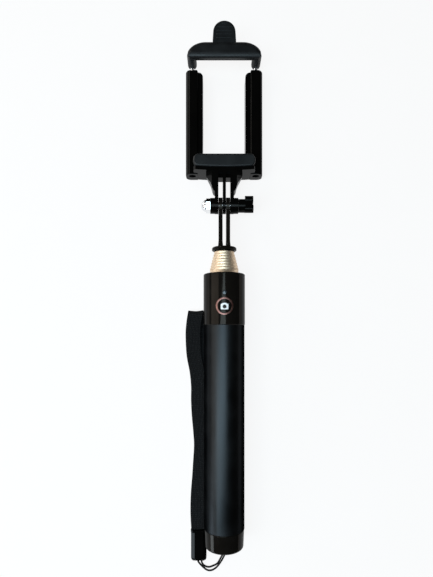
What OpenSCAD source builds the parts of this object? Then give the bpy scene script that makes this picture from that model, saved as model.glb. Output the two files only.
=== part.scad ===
// Telescopic selfie stick, lying on its back with the pole collapsed and the wrist strap beside it.
// X runs across, Y along the pole towards the phone clamp and Z up from the floor, in millimetres.
// Stations along the pole count from the bottom of the end cap.

/* [Handle] */
// Length of the soft grip
grip_len = 131; // [120:1:160]
// Thickness of the soft grip
grip_wall = 1.3; // [0.8:0.1:2]
// Wall of the inner tube that carries the grip
handle_wall = 1.2; // [0.8:0.1:2]
// Room round the outer pole tube, where the battery leads run
lead_room = 1.35; // [1.2:0.05:2]
// Length of the button housing
housing_len = 32.8; // [31:0.1:45]
// Wall of the button housing
housing_wall = 1.4; // [1:0.1:2]
// Thickness of the button housing's top
housing_top = 2.5; // [1.5:0.1:4]
// Radius of the button housing's top edge
housing_round = 0.8; // [0.5:0.1:2.4]
// Length of the handle tube inside the button housing
spigot_len = 4; // [2:0.5:4.5]
// Diameter of the end cap
cap_d = 25.8; // [23.8:0.1:26.2]
// Length of the end cap below the grip
cap_len = 12.4; // [11:0.1:20]
// Radius of the end cap's bottom edge
cap_round = 1.6; // [1:0.1:5]
// Thickness of the end cap's bottom
cap_floor = 3; // [2:0.1:4]
// Length of the end cap's plug inside the handle tube
plug_len = 12; // [6:0.5:13]

/* [Pole] */
// Diameter of the innermost tube
inner_tube_d = 13; // [12:0.1:14]
// Wall of each pole tube
tube_wall = 0.25; // [0.2:0.01:0.35]
// Radial gap between neighbouring tubes
tube_gap = 0.2; // [0.15:0.01:0.3]
// Height of the outer tube above the housing
first_step = 3.7; // [3:0.1:8]
// Height of each further tube above the last one
tube_step = 1.8; // [1:0.1:3]
// Height of the rolled lip at the top of each tube
lip_len = 1.2; // [0.6:0.1:2]
// Length of a tube that stays inside the next one when drawn out
stage_overlap = 12; // [8:0.5:20]
// Length of the ring that holds the outer tube's foot
bush_len = 8; // [4:0.5:15]
// Thickness of the shoulder under the outer tube's foot
bush_floor = 2; // [1:0.1:4]

/* [Fork and hinge] */
// Gap between the last collapsed tube and the fork's flange
flange_gap = 2.3; // [1.5:0.1:5]
// Diameter of the fork's flange
flange_d = 15.9; // [15:0.1:18]
// Thickness of the fork's flange
flange_t = 2.4; // [2:0.1:5]
// Length of the fork's plug inside the innermost tube
fork_plug = 10; // [5:0.5:20]
// Length from the flange to the hinge axis
fork_len = 27; // [24:0.1:35]
// Thickness of each fork prong
prong_t = 2.6; // [1.5:0.1:3]
// Depth of each fork prong
prong_depth = 8.8; // [7:0.1:9.4]
// Thickness of the knuckle's middle finger
mid_finger_t = 2; // [1.5:0.1:3]
// Thickness of each outer finger
outer_finger_t = 2.3; // [1.5:0.1:3]
// Side gap between the prongs and the fingers
finger_gap = 0.1; // [0.05:0.01:0.3]
// Radius of the round eyes of the hinge
eye_r = 5.2; // [4.8:0.1:6]
// Diameter of the boss on each outer finger
boss_d = 10; // [9:0.1:10.4]
// Length of the boss on each outer finger
boss_len = 2.9; // [2:0.1:5]
// Diameter of the hinge bolt
bolt_d = 5; // [4:0.1:5.5]
// Width across the flats of the domed nut
nut_flats = 8; // [7.5:0.1:10]
// Length of the domed nut's six-sided part
nut_hex_len = 2.4; // [1.5:0.1:3]
// Length of the domed nut
nut_len = 6; // [4.6:0.1:7]
// Length of the knob
knob_len = 9.5; // [8:0.1:15]
// Length of the knob's round hub
knob_hub_len = 4.2; // [2:0.1:6]
// Diameter of the knob's round hub
knob_hub_d = 8.6; // [7:0.1:9]
// Radius of each of the knob's three lobes
lobe_r = 2.6; // [2:0.1:3.5]
// Distance of the lobes from the hinge axis
lobe_offset = 3.6; // [2.5:0.1:5]

/* [Clamp frame] */
// Width of the clamp
clamp_w = 50.4; // [46:0.1:60]
// Width of each rail
rail_w = 8; // [7:0.1:10]
// Depth of each rail
rail_depth = 11.3; // [10.5:0.1:12.5]
// Radius of the rails' corners
rail_round = 2.6; // [1:0.1:3]
// Length of the rails
rail_len = 68.8; // [64:0.1:90]
// Width of the lip along the inside of each rail
rail_lip_w = 3.3; // [1:0.1:4]
// Depth of the lip along the inside of each rail
rail_lip_depth = 10; // [2:0.1:10.2]
// How far the lip ends below the top of the rail
rail_lip_drop = 1.5; // [1:0.1:6]
// Thickness of the rail's top, where the rod comes out
rail_cap = 3; // [2:0.1:6]
// Distance from the hinge axis to the ledge
knuckle_len = 21.2; // [19:0.1:30]
// Thickness of the solid web between the fingers and the ledge
knuckle_web = 6.7; // [4:0.1:8]
// Width of the knuckle at the ledge
knuckle_w = 23.6; // [18:0.1:30]
// Width of the knuckle's front face at the ledge
knuckle_front_w = 15.8; // [13:0.1:17]
// Length of the knuckle's sloping sides
knuckle_flare = 13; // [8:0.1:14]
// Width of the ledge
ledge_w = 39.6; // [32:0.1:42]
// Thickness of the ledge
ledge_t = 2.1; // [1.5:0.1:4]
// Radius of the ledge's front corners
ledge_round = 3; // [1:0.1:5]
// Thickness of the rubber pad on the ledge
pad_t = 8.5; // [5:0.1:10]
// Depth of the rubber pad, front to back
pad_depth = 7.8; // [6:0.1:12]
// Radius of the rubber pad's ends
pad_round = 3.4; // [1:0.1:3.4]

/* [Jaw] */
// Gap between the rails and the closed jaw
jaw_gap = 2.4; // [0.4:0.1:5]
// Height of the jaw's bar along the pole
jaw_h = 10.1; // [9.4:0.1:12]
// Depth of the jaw's bar
jaw_t = 4.4; // [4:0.1:6]
// Height of the jaw's front face above the floor
jaw_front = 20.4; // [19:0.1:24]
// Height of the jaw's round ends
jaw_round = 9; // [3:0.1:9.3]
// Length of the jaw's round ends
jaw_end = 12; // [6:0.1:15]
// How far the jaw stays inside the rails' sides
jaw_inset = 1.3; // [0.5:0.1:1.6]
// Thickness of the rubber cover on the jaw
cover_wall = 1.2; // [0.8:0.1:1.4]
// Width of each jaw arm
arm_w = 5.9; // [5.5:0.1:6.2]
// Height of each jaw arm along the pole
arm_h = 6.2; // [5.8:0.1:7.5]
// Height of the jaw arms' backs above the floor
arm_back = 4.4; // [1:0.1:4.8]
// Width of the finger tab
tab_w = 14.9; // [10:0.1:20]
// Length of the finger tab above the jaw
tab_len = 13.3; // [13:0.1:22]
// Thickness of the finger tab
tab_t = 3; // [2.4:0.1:3.4]
// Radius of the finger tab's corners
tab_round = 7; // [2:0.1:7.3]
// Width of the ribs on the finger tab
rib_w = 10.3; // [6:0.1:10.8]
// Height of each rib along the tab
rib_h = 0.9; // [0.5:0.1:1.4]
// Distance from one rib to the next
rib_pitch = 2.25; // [1.8:0.05:2.3]
// Diameter of the guide rods
rod_d = 2.4; // [2:0.1:2.6]
// Distance of each rod from the clamp's side
rod_inset = 4.3; // [3.8:0.1:4.4]
// Height of the rods above the floor
rod_height = 7.4; // [6.5:0.1:7.8]
// Diameter of the bore round each spring
spring_bore = 4.6; // [4.4:0.1:4.8]
// Wire of the jaw springs
spring_wire = 0.5; // [0.4:0.05:0.5]
// Turns of each jaw spring
spring_turns = 14; // [10:1:16]
// Height of the rods' feet above the ledge's underside
rod_foot = 8; // [5:0.5:12]

/* [Button and light] */
// Distance of the button from the bottom of the housing
button_from = 11.6; // [11:0.1:12.5]
// Diameter of the shutter button
button_d = 8.8; // [7:0.1:9]
// Width of the metal ring round the button
ring_w = 1; // [0.8:0.1:1.6]
// Height of the metal ring above the housing
ring_rise = 0.3; // [0.1:0.05:0.6]
// Travel of the shutter button
button_travel = 0.35; // [0.2:0.05:0.4]
// Width of the camera sign on the button
icon_w = 4.8; // [4:0.1:5.6]
// Height of the camera sign's body
icon_h = 3.6; // [2.6:0.1:4]
// Diameter of the lens in the camera sign
icon_lens = 2.4; // [1.5:0.1:2.5]
// Diameter of the status light
led_d = 2.4; // [1.5:0.1:3]
// Distance of the status light from the bottom of the housing
led_from = 20; // [19.8:0.1:21]
// Gap between the circuit board and the housing's top
board_gap = 1; // [0.5:0.1:2]
// Thickness of the circuit board
board_t = 0.6; // [0.4:0.05:0.6]
// Side of the square radio chip
chip_w = 4; // [3:0.1:4.5]

/* [Power] */
// Length of the space for the cell and the port below the pole
power_bay = 27; // [26:0.5:40]
// Diameter of the battery cell
cell_d = 14; // [10:0.1:14.4]
// Length of the battery cell
cell_len = 20; // [18:0.5:22]
// Diameter of each battery lead
lead_d = 0.8; // [0.5:0.05:0.85]
// Distance between the two leads
lead_spacing = 3; // [2:0.1:4]
// Width of the charging port along the handle
port_w = 7.5; // [6:0.1:9]
// Thickness of the charging port
port_t = 2.6; // [2.2:0.1:3.4]
// Depth of the charging port
port_depth = 4.8; // [4:0.1:5]

/* [Strap] */
// Width of the strap's webbing
webbing_w = 10; // [8:0.1:12]
// Thickness of the webbing
webbing_t = 1; // [0.6:0.05:1.1]
// Diameter of the strap's cord
cord_d = 1.2; // [0.9:0.05:1.2]
// Diameter of the cord hole in the end cap
cord_hole = 3.2; // [3.1:0.1:4]
// Width of the strap clip
clip_w = 10.8; // [8:0.1:12]
// Length of the strap clip
clip_len = 21; // [20.8:0.1:21.2]
// Thickness of the strap clip
clip_t = 5.4; // [4.6:0.1:7]
// Diameter of the knot inside the end cap
knot_d = 4.8; // [4:0.1:6]

/* [Hidden] */
$fn = 64;
// Clearance of parts that are fitted together and stay put
fit = 0.05;
// Radial clearance of what turns or slides
running = 0.05;
// Clearance of soft parts beside their neighbours
soft_gap = 0.3;
// Overshoot of cutting shapes
eps = 1;

// Pole tubes, counted from the outermost one
tube_count = 7;
function tube_r(i) = inner_tube_d / 2 + (tube_count - i) * (tube_wall + tube_gap);
function tube_bore(i) = tube_r(i) - tube_wall;

// Radii of the handle, from the pole outwards
handle_bore = tube_r(1) + lead_room;
handle_r = handle_bore + handle_wall;
grip_r = handle_r + fit + grip_wall;
spigot_gap = 0.25;
housing_bore = handle_r + spigot_gap;
housing_r = housing_bore + housing_wall;
axis_z = housing_r;

// Stations along the pole
housing_s = cap_len + grip_len;
bush_s = cap_len + power_bay;
function tube_top(i) = housing_s + housing_len + first_step + (i - 1) * tube_step;
foot_lead = 1.5;
foot_2 = bush_s + bush_floor + foot_lead;
stage_travel = tube_top(1) - stage_overlap - foot_2;
function tube_foot(i) = i == 1 ? bush_s + bush_floor : tube_top(i - 1) - stage_overlap - stage_travel;
flange_s = tube_top(tube_count - 1) + flange_gap;
hinge_s = flange_s + flange_t + fork_len;
ledge_s = hinge_s + knuckle_len;
rail_top = ledge_s + rail_len;
jaw_s = rail_top + jaw_gap;
jaw_top = jaw_s + jaw_h;
total_len = jaw_top + tab_len;
mid_s = total_len / 2;

// Friction strips stop under the lip of the next tube
strip_len = stage_overlap - lip_len - fit;

// Hinge stack, outwards from the middle
prong_in = mid_finger_t / 2 + finger_gap;
prong_out = prong_in + prong_t;
outer_in = prong_out + finger_gap;
outer_out = outer_in + outer_finger_t;
boss_end = outer_out + boss_len;
bolt_bore_r = bolt_d / 2 + running;
nut_grip = 2.9;
knob_grip = 7;

// Clamp
rail_in = clamp_w / 2 - rail_w;
rod_x = clamp_w / 2 - rod_inset;
ledge_front = axis_z + eye_r;
pad_back = rail_depth + soft_gap;
rod_foot_s = ledge_s + rod_foot;
rod_head_d = 3.8;
rod_head_t = 0.8;
washer_t = 1.5;
washer_s = rod_foot_s + fit;
spring_s = washer_s + washer_t + fit;
spring_top = rail_top - rail_cap - fit;
spring_r = (rod_d + spring_bore) / 4;

// Jaw
jaw_back = jaw_front - jaw_t;
jaw_half = clamp_w / 2 - jaw_inset;
arm_in = jaw_half - arm_w;
arm_neck_wall = 1.4;
rod_socket = 5;
rib_count = 5;
rib_rise = 0.4;
first_rib = 2.6;
rib_margin = 1;

// Button and board, heights above the pole's axis
button_s = housing_s + button_from;
led_s = housing_s + led_from;
ring_r = button_d / 2 + fit + ring_w;
button_gap = 0.1;
ring_floor = housing_bore - 0.6;
button_flange_t = 0.4;
button_flange_w = 0.7;
button_nub = 0.2;
board_z = tube_r(1) + 0.15;
board_top = board_z + board_t;
board_half = sqrt(pow(housing_bore, 2) - pow(board_top, 2)) - 0.15;
board_s = housing_s + spigot_len + board_gap;
board_len = housing_len - housing_top - spigot_len - 2 * board_gap;
dome_r = 2.4;
dome_h = ring_floor - button_gap - button_flange_t - button_nub - button_travel - fit - board_top;
button_rise = 0.1;
icon_t = 0.12;
icon_hump_w = 2.8;
icon_hump_h = 0.5;
icon_drop = 0.4;

// Battery, port and strap
cell_s = cap_len + 1.6;
lead_z = tube_r(1) + 0.05 + lead_d / 2 + 0.1;
lead_tab_s = cell_s + cell_len - 3;
port_s = cap_len + plug_len + port_w / 2 + 2;
port_wall = 0.35;
port_face = grip_r - 0.2;
knot_room = 5;

// Strap routes: X from the pole, station from the cap's bottom, height above the floor
clip_x = -16.9;
clip_top_s = 6.6;
cord_route = [
    [0.65, 5, 13.4], [0.65, 2, 13.4], [0.65, -1, 13.4], [0.7, -4, 12.4], [0.4, -6.5, 10.4],
    [0, -8.8, 7.8], [-0.4, -11, 5.2], [-1.1, -13.5, 3], [-2.2, -16, 1.6], [-3.8, -18.6, 0.9],
    [-6, -20.8, 0.8], [-8.6, -22.2, 0.8], [-11.2, -21.9, 0.8], [-13.6, -20.2, 0.9],
    [-15.6, -18, 1.3], [-17.2, -15.6, 2], [-17.9, -13, 2.3], [-18.7, -10.8, 2.3],
    [-19.1, -8.7, 2.3], [-18.5, -6.7, 2.3], [-16.5, -5.7, 2.3], [-14.5, -6.7, 2.3], [-13.9, -8.7, 2.3],
    [-14.3, -10.8, 2.3], [-15.1, -13, 2.3], [-15, -15.4, 2], [-14.4, -17.4, 1.3], [-12.6, -19.2, 0.9],
    [-10, -19.8, 0.8], [-7.4, -19, 0.8], [-4.7, -17.6, 0.9], [-3.2, -15.2, 1.6],
    [-2.3, -12.8, 3], [-1.6, -10.4, 5.2], [-1.2, -8.2, 7.8], [-0.8, -6, 10.4],
    [-0.5, -3.7, 12.4], [-0.65, -1, 13.4], [-0.65, 2, 13.4], [-0.65, 5, 13.4]
];
webbing_route = [
    [-16.9, 6.6, 2], [-17.2, 14, 0.8], [-17.2, 26, 0.6], [-16.5, 40, 0.6], [-15.6, 54, 0.6],
    [-15.2, 66, 0.6], [-15.4, 80, 0.6], [-15.6, 94, 0.6], [-15.6, 108, 0.6], [-16.2, 122, 0.6],
    [-17.2, 136, 0.6], [-17.8, 145, 0.7], [-18.2, 150, 1.1], [-18.5, 152, 1.9], [-18.8, 152.6, 2.8],
    [-19.1, 152, 3.8], [-19.4, 150, 4.4], [-20.2, 145, 4], [-20.8, 137, 2.9], [-20.2, 124, 2],
    [-18.2, 113, 1.8], [-17.2, 103, 1.8], [-17.2, 93, 1.8], [-16.7, 83, 1.8], [-15.8, 73, 1.8],
    [-15.2, 63, 1.8], [-15.8, 52, 1.8], [-16.5, 41, 1.8], [-17.3, 31, 1.8], [-17.6, 21, 1.9],
    [-17.4, 13, 2.2], [-16.9, 6.6, 3.3]
];
cord_pocket_w = 7.6;
cord_pocket_h = 2.2;
cord_pocket_len = 10.2;

// Colours
gloss_black = [0.03, 0.03, 0.035];
soft_black = [0.12, 0.14, 0.16];
rubber_grey = [0.16, 0.16, 0.17];
champagne = [0.78, 0.66, 0.52];
bright_steel = [0.8, 0.8, 0.82];
rose_gold = [0.62, 0.42, 0.38];
brass = [0.72, 0.55, 0.25];

// Places children with their Z along the pole, at station s
module on_pole(s) translate([0, s - mid_s, axis_z]) rotate([-90, 0, 0]) children();

// Places children above the pole's axis, at station s
module on_top(s) translate([0, s - mid_s, axis_z]) children();

// Places children with their Z along the hinge axis, pointing to +X
module on_hinge() translate([0, hinge_s - mid_s, axis_z]) rotate([0, 90, 0]) children();

// Extrudes an outline in X and height above the floor, from station s0 to s1
module along_y(s0, s1) translate([0, s1 - mid_s, 0]) rotate([90, 0, 0]) linear_extrude(s1 - s0) children();

// Extrudes an outline in X and station, from height z0 to z1
module along_z(z0, z1) translate([0, -mid_s, z0]) linear_extrude(z1 - z0) children();

// Extrudes an outline in distance from the hinge along the pole and in height, from x0 to x1
module along_x(x0, x1) {
    translate([x0, hinge_s - mid_s, axis_z]) rotate([90, 0, 90]) linear_extrude(x1 - x0) children();
}

module both_sides() {
    children();
    mirror([1, 0, 0]) children();
}

// Rectangle from one corner to the other with round corners
module round_box(x0, y0, x1, y1, r) {
    translate([x0 + r, y0]) square([x1 - x0 - 2 * r, y1 - y0]);
    translate([x0, y0 + r]) square([x1 - x0, y1 - y0 - 2 * r]);
    for (x = [x0 + r, x1 - r], y = [y0 + r, y1 - r]) translate([x, y]) circle(r);
}

// Round bar from the origin up, with its top edge rounded
module round_top_bar(r, h, edge) {
    rotate_extrude() {
        square([r, h - edge]);
        square([r - edge, h]);
        translate([r - edge, h - edge]) circle(edge);
    }
}

module ring(r_out, r_in, h) {
    difference() {
        cylinder(r = r_out, h = h);
        translate([0, 0, -eps]) cylinder(r = r_in, h = h + 2 * eps);
    }
}

// Tube or ribbon swept along a route, with up as the first direction of its outline
function unit(v) = v / norm(v);
function heading(p, i) = unit(p[min(i + 1, len(p) - 1)] - p[max(i - 1, 0)]);
function across(t, up) = unit(up - t * (t * up));
function slice(p, i, up, outline) =
    let (t = heading(p, i), a = across(t, up), b = cross(t, a))
    [for (q = outline) p[i] + q[0] * a + q[1] * b];
function round_outline(d, sides) = [
    for (k = [0:sides - 1]) d / 2 * [cos(360 * k / sides), sin(360 * k / sides)]
];

module sweep(p, up, outline) {
    n = len(outline);
    last = (len(p) - 1) * n;
    polyhedron(
        points = [for (i = [0:len(p) - 1]) each slice(p, i, up, outline)],
        faces = [
            for (k = [1:n - 2]) [0, k, k + 1],
            for (k = [1:n - 2]) [last, last + k + 1, last + k],
            for (i = [0:len(p) - 2], k = [0:n - 1]) [i * n + k, (i + 1) * n + k, (i + 1) * n + (k + 1) % n],
            for (i = [0:len(p) - 2], k = [0:n - 1])
                [i * n + k, (i + 1) * n + (k + 1) % n, i * n + (k + 1) % n]
        ]
    );
}

// Handle

module port_cut() {
    translate([-port_t / 2 - fit, port_s - port_w / 2 - fit - mid_s, axis_z - grip_r - eps])
        cube([port_t + 2 * fit, port_w + 2 * fit, grip_r - handle_bore + 2 * eps]);
}

module upper_housing() {
    color(gloss_black) difference() {
        on_pole(housing_s) round_top_bar(housing_r, housing_len, housing_round);
        on_pole(housing_s - eps) cylinder(r = housing_bore, h = housing_len - housing_top + eps);
        on_pole(housing_s) cylinder(r = tube_r(1) + fit, h = housing_len + eps);
        on_top(button_s) cylinder(r = ring_r + fit, h = housing_r + eps);
        on_top(led_s) cylinder(r = led_d / 2 + fit, h = housing_r + eps);
    }
}

module handle_tube() {
    color(gloss_black) difference() {
        on_pole(cap_len) ring(handle_r, handle_bore, grip_len + spigot_len);
        port_cut();
    }
}

module grip_sleeve() {
    color(soft_black) difference() {
        on_pole(cap_len) ring(grip_r, handle_r + fit, grip_len);
        port_cut();
    }
}

module end_cap() {
    color(gloss_black) difference() {
        union() {
            on_pole(cap_len) mirror([0, 0, 1]) round_top_bar(cap_d / 2, cap_len, cap_round);
            on_pole(cap_len - eps) cylinder(r = handle_bore - fit, h = plug_len + eps);
        }
        on_pole(cell_s) cylinder(d = cell_d + 2 * fit, h = plug_len + eps);
        on_pole(cap_floor) cylinder(r = knot_room, h = cell_s);
        on_pole(-eps) cylinder(d = cord_hole, h = cap_floor + 2 * eps);
    }
}

module pole_bush() {
    color(gloss_black) difference() {
        on_pole(bush_s) cylinder(r = handle_bore - fit, h = bush_len);
        on_pole(bush_s - eps) cylinder(r = tube_bore(tube_count), h = bush_len + 2 * eps);
        on_pole(bush_s + bush_floor) cylinder(r = tube_r(1) + fit, h = bush_len);
        on_top(bush_s - eps) translate([-lead_spacing / 2 - lead_d, 0, 0])
            cube([lead_spacing + 2 * lead_d, bush_len + 2 * eps, handle_bore + eps]);
    }
}

module button_ring() {
    color(rose_gold) intersection() {
        on_top(button_s) translate([0, 0, ring_floor]) ring(ring_r, button_d / 2 + fit, housing_r);
        on_pole(housing_s) cylinder(r = housing_r + ring_rise, h = housing_len);
    }
}

module shutter_button() {
    flange_top = ring_floor - button_gap;
    color(gloss_black) {
        intersection() {
            on_top(button_s) translate([0, 0, flange_top - button_flange_t])
                cylinder(d = button_d - 2 * fit, h = housing_r);
            on_pole(housing_s) cylinder(r = housing_r + button_rise, h = housing_len);
        }
        on_top(button_s) translate([0, 0, flange_top - button_flange_t])
            cylinder(r = button_d / 2 + button_flange_w, h = button_flange_t);
        on_top(button_s) translate([0, 0, flange_top - button_flange_t - button_nub])
            cylinder(r = dome_r / 2, h = button_nub + button_flange_t);
    }
}

module button_icon() {
    icon_r = housing_r + button_rise + fit;
    color("white") intersection() {
        on_top(button_s - icon_drop) linear_extrude(housing_r + eps) difference() {
            union() {
                square([icon_w, icon_h], center = true);
                translate([-icon_hump_w / 2, 0]) square([icon_hump_w, icon_h / 2 + icon_hump_h]);
            }
            circle(d = icon_lens);
        }
        on_pole(housing_s) ring(icon_r + icon_t, icon_r, housing_len);
    }
}

module led_lens() {
    color("whitesmoke") intersection() {
        on_top(led_s) translate([0, 0, ring_floor]) cylinder(d = led_d, h = housing_r);
        on_pole(housing_s) cylinder(r = housing_r + button_rise, h = housing_len);
    }
}

module led_chip() {
    chip = [1.6, 0.8, ring_floor - board_top - soft_gap];
    color("ivory") on_top(led_s) translate([-chip[0] / 2, -chip[1] / 2, board_top]) cube(chip);
}

module circuit_board() {
    color("darkgreen") on_top(board_s) translate([-board_half, 0, board_z])
        cube([2 * board_half, board_len, board_t]);
}

module radio_chip() {
    chip_t = 0.8;
    chip_s = board_s + board_len - chip_w - 0.5;
    color([0.05, 0.05, 0.05]) on_top(chip_s) translate([-chip_w / 2, 0, board_top])
        cube([chip_w, chip_w, chip_t]);
}

module snap_dome() {
    color(bright_steel) on_top(button_s) translate([0, 0, board_top])
        cylinder(r1 = dome_r, r2 = dome_r / 2, h = dome_h);
}

module battery_cell() {
    tip_d = 4;
    tip_h = 0.8;
    color("steelblue") on_pole(cell_s) {
        cylinder(d = cell_d, h = cell_len);
        cylinder(d = tip_d, h = cell_len + tip_h);
    }
}

module battery_leads() {
    color("firebrick") both_sides() {
        translate([lead_spacing / 2, 0, lead_z]) on_pole(lead_tab_s)
            cylinder(d = lead_d, h = board_s - lead_tab_s);
        on_top(lead_tab_s) translate([lead_spacing / 2, 0, lead_z]) sphere(d = lead_d);
        on_top(lead_tab_s) translate([lead_spacing / 2, 0, cell_d / 2])
            cylinder(d = lead_d, h = lead_z - cell_d / 2);
    }
}

module charge_port() {
    color(bright_steel) difference() {
        translate([-port_t / 2, port_s - port_w / 2 - mid_s, axis_z - port_face])
            cube([port_t, port_w, port_depth]);
        translate([port_wall - port_t / 2, port_s + port_wall - port_w / 2 - mid_s, axis_z - port_face - eps])
            cube([port_t - 2 * port_wall, port_w - 2 * port_wall, port_depth - port_wall + eps]);
    }
}

// Pole

module pole_tube(i) {
    h = tube_top(i) - tube_foot(i);
    lip = i < tube_count ? lip_len : 0;
    color(champagne) on_pole(tube_foot(i)) difference() {
        cylinder(r = tube_r(i), h = h);
        translate([0, 0, -eps]) cylinder(r = tube_bore(i), h = h - lip + eps + (lip > 0 ? 0 : eps));
        translate([0, 0, -eps]) cylinder(r = tube_bore(i) - tube_gap + running, h = h + 2 * eps);
    }
}

// Two curved strips round the foot of tube i
module friction_strips(i) {
    slit = 3;
    strip_r = tube_r(i) + tube_gap - running;
    color(brass) on_pole(tube_foot(i)) difference() {
        ring(strip_r, tube_r(i) + fit / 5, strip_len);
        translate([-slit / 2, -strip_r - eps, -eps]) cube([slit, 2 * (strip_r + eps), strip_len + 2 * eps]);
    }
}

module fork_head() {
    color(gloss_black) difference() {
        union() {
            on_pole(flange_s) cylinder(d = flange_d, h = flange_t);
            on_pole(flange_s - fork_plug) cylinder(r = tube_bore(tube_count) - running, h = fork_plug + eps);
            both_sides() along_x(prong_in, prong_out) {
                circle(eye_r);
                translate([-fork_len - eps, -prong_depth / 2]) square([fork_len + eps, prong_depth]);
            }
        }
        on_hinge() cylinder(r = bolt_bore_r, h = 4 * prong_out, center = true);
    }
}

// Phone clamp

module knuckle() {
    slope_s = ledge_s - knuckle_flare;
    foot = 1.5;
    intersection() {
        along_z(axis_z - eye_r, axis_z + eye_r) polygon([
            [-outer_out, hinge_s - eye_r], [outer_out, hinge_s - eye_r], [outer_out, slope_s],
            [knuckle_w / 2, ledge_s - foot], [knuckle_w / 2, ledge_s + eps],
            [-knuckle_w / 2, ledge_s + eps], [-knuckle_w / 2, ledge_s - foot], [-outer_out, slope_s]
        ]);
        along_y(hinge_s - 2 * eye_r, ledge_s + eps) polygon([
            for (side = [[-1, -1], [1, -1]]) [side[0] * knuckle_front_w / 2, axis_z + side[1] * eye_r],
            [knuckle_w / 2 + eps / 2, axis_z],
            for (side = [[1, 1], [-1, 1]]) [side[0] * knuckle_front_w / 2, axis_z + side[1] * eye_r],
            [-knuckle_w / 2 - eps / 2, axis_z]
        ]);
        along_x(-knuckle_w, knuckle_w) {
            circle(eye_r);
            translate([0, -eye_r]) square([knuckle_len + 2 * eps, 2 * eye_r]);
        }
    }
}

module rail_outline() {
    round_box(rail_in, 0, clamp_w / 2, rail_depth, rail_round);
}

module clamp_frame() {
    color(gloss_black) difference() {
        union() {
            both_sides() along_y(ledge_s, rail_top) rail_outline();
            both_sides() along_y(ledge_s, rail_top - rail_lip_drop)
                translate([rail_in - rail_lip_w, 0]) square([rail_lip_w + rail_round, rail_lip_depth]);
            along_y(ledge_s, ledge_s + ledge_t) {
                round_box(-ledge_w / 2, 0, ledge_w / 2, ledge_front, ledge_round);
                translate([-ledge_w / 2, 0]) square([ledge_w, ledge_front / 2]);
            }
            knuckle();
            on_hinge() cylinder(d = boss_d, h = 2 * boss_end, center = true);
        }
        both_sides() along_z(0, 2 * axis_z)
            translate([mid_finger_t / 2, hinge_s - 2 * eye_r])
            square([outer_in - mid_finger_t / 2, 2 * eye_r + knuckle_len - knuckle_web]);
        on_hinge() cylinder(r = bolt_bore_r, h = 4 * boss_end, center = true);
        both_sides() translate([rod_x, 0, rod_height - axis_z]) {
            on_pole(ledge_s - eps) cylinder(d = spring_bore, h = rail_len - rail_cap + eps);
            on_pole(ledge_s) cylinder(r = rod_d / 2 + running, h = rail_len + eps);
        }
    }
}

module lower_pad() {
    pad_s = ledge_s + ledge_t;
    color(rubber_grey) along_z(pad_back, pad_back + pad_depth)
        round_box(-ledge_w / 2, pad_s, ledge_w / 2, pad_s + pad_t, pad_round);
}

module cap_nut() {
    dome = nut_flats / 2;
    color(bright_steel) on_hinge() mirror([0, 0, 1]) translate([0, 0, boss_end + fit]) difference() {
        union() {
            cylinder(d = nut_flats / cos(30), h = nut_hex_len, $fn = 6);
            intersection() {
                translate([0, 0, nut_len - dome]) sphere(dome);
                cylinder(d = 2 * nut_flats, h = nut_len + eps);
            }
        }
        translate([0, 0, -eps]) cylinder(r = bolt_bore_r, h = nut_grip + fit + eps);
    }
}

module hinge_bolt() {
    color(bright_steel) on_hinge() translate([0, 0, -boss_end - nut_grip])
        cylinder(d = bolt_d, h = 2 * boss_end + nut_grip + knob_grip);
}

module clamp_knob() {
    color(gloss_black) on_hinge() translate([0, 0, boss_end + button_gap]) difference() {
        union() {
            cylinder(d = knob_hub_d, h = knob_len - fit);
            translate([0, 0, knob_hub_len]) linear_extrude(knob_len - knob_hub_len)
                for (turn = [0:120:240]) rotate(turn + 90) {
                    translate([lobe_offset, 0]) circle(lobe_r);
                    translate([0, -lobe_r]) square([lobe_offset, 2 * lobe_r]);
                }
        }
        translate([0, 0, -eps]) cylinder(d = bolt_d + fit, h = knob_grip + eps);
    }
}

// Helix round the rod, from the washer to the top of the rail's bore
module jaw_spring(side) {
    per_turn = 8;
    length = spring_top - spring_s - spring_wire;
    route = [for (k = [0:spring_turns * per_turn]) [
        side * rod_x + spring_r * cos(360 * k / per_turn),
        spring_s + spring_wire / 2 + length * k / (spring_turns * per_turn) - mid_s,
        rod_height + spring_r * sin(360 * k / per_turn)
    ]];
    echo(spring_turn_gap = length / spring_turns - spring_wire);
    color(bright_steel) sweep(route, [0, 1, 0], round_outline(spring_wire, 6));
}

module left_spring() jaw_spring(-1);

module right_spring() jaw_spring(1);

module guide_rod(side) {
    color(bright_steel) translate([side * rod_x, 0, rod_height - axis_z]) {
        on_pole(rod_foot_s - rod_head_t) cylinder(d = rod_head_d, h = rod_head_t);
        on_pole(rod_foot_s - rod_head_t)
            cylinder(d = rod_d, h = jaw_s + rod_socket - fit - rod_foot_s + rod_head_t);
    }
}

module left_guide_rod() guide_rod(-1);

module right_guide_rod() guide_rod(1);

module rod_washers() {
    color(bright_steel) both_sides() translate([rod_x, 0, rod_height - axis_z])
        on_pole(washer_s) ring(spring_bore / 2 - 2 * running, rod_d / 2 + fit / 2, washer_t);
}

// Front of the jaw with its round ends, drawn in by inset
module jaw_outline(inset) {
    half = jaw_half - inset;
    end = [jaw_end - inset, jaw_round - inset];
    corner = [half - end[0], jaw_top - inset - end[1]];
    steps = 16;
    turns = [for (k = [0:steps]) [end[0] * cos(90 * k / steps), end[1] * sin(90 * k / steps)]];
    intersection() {
        translate([-half, jaw_s + inset]) square([2 * half, jaw_h - 2 * inset]);
        polygon([
            [-half, jaw_s], [half, jaw_s],
            for (p = turns) [corner[0] + p[0], corner[1] + p[1]],
            for (k = [steps:-1:0]) [-corner[0] - turns[k][0], corner[1] + turns[k][1]]
        ]);
    }
}

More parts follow.
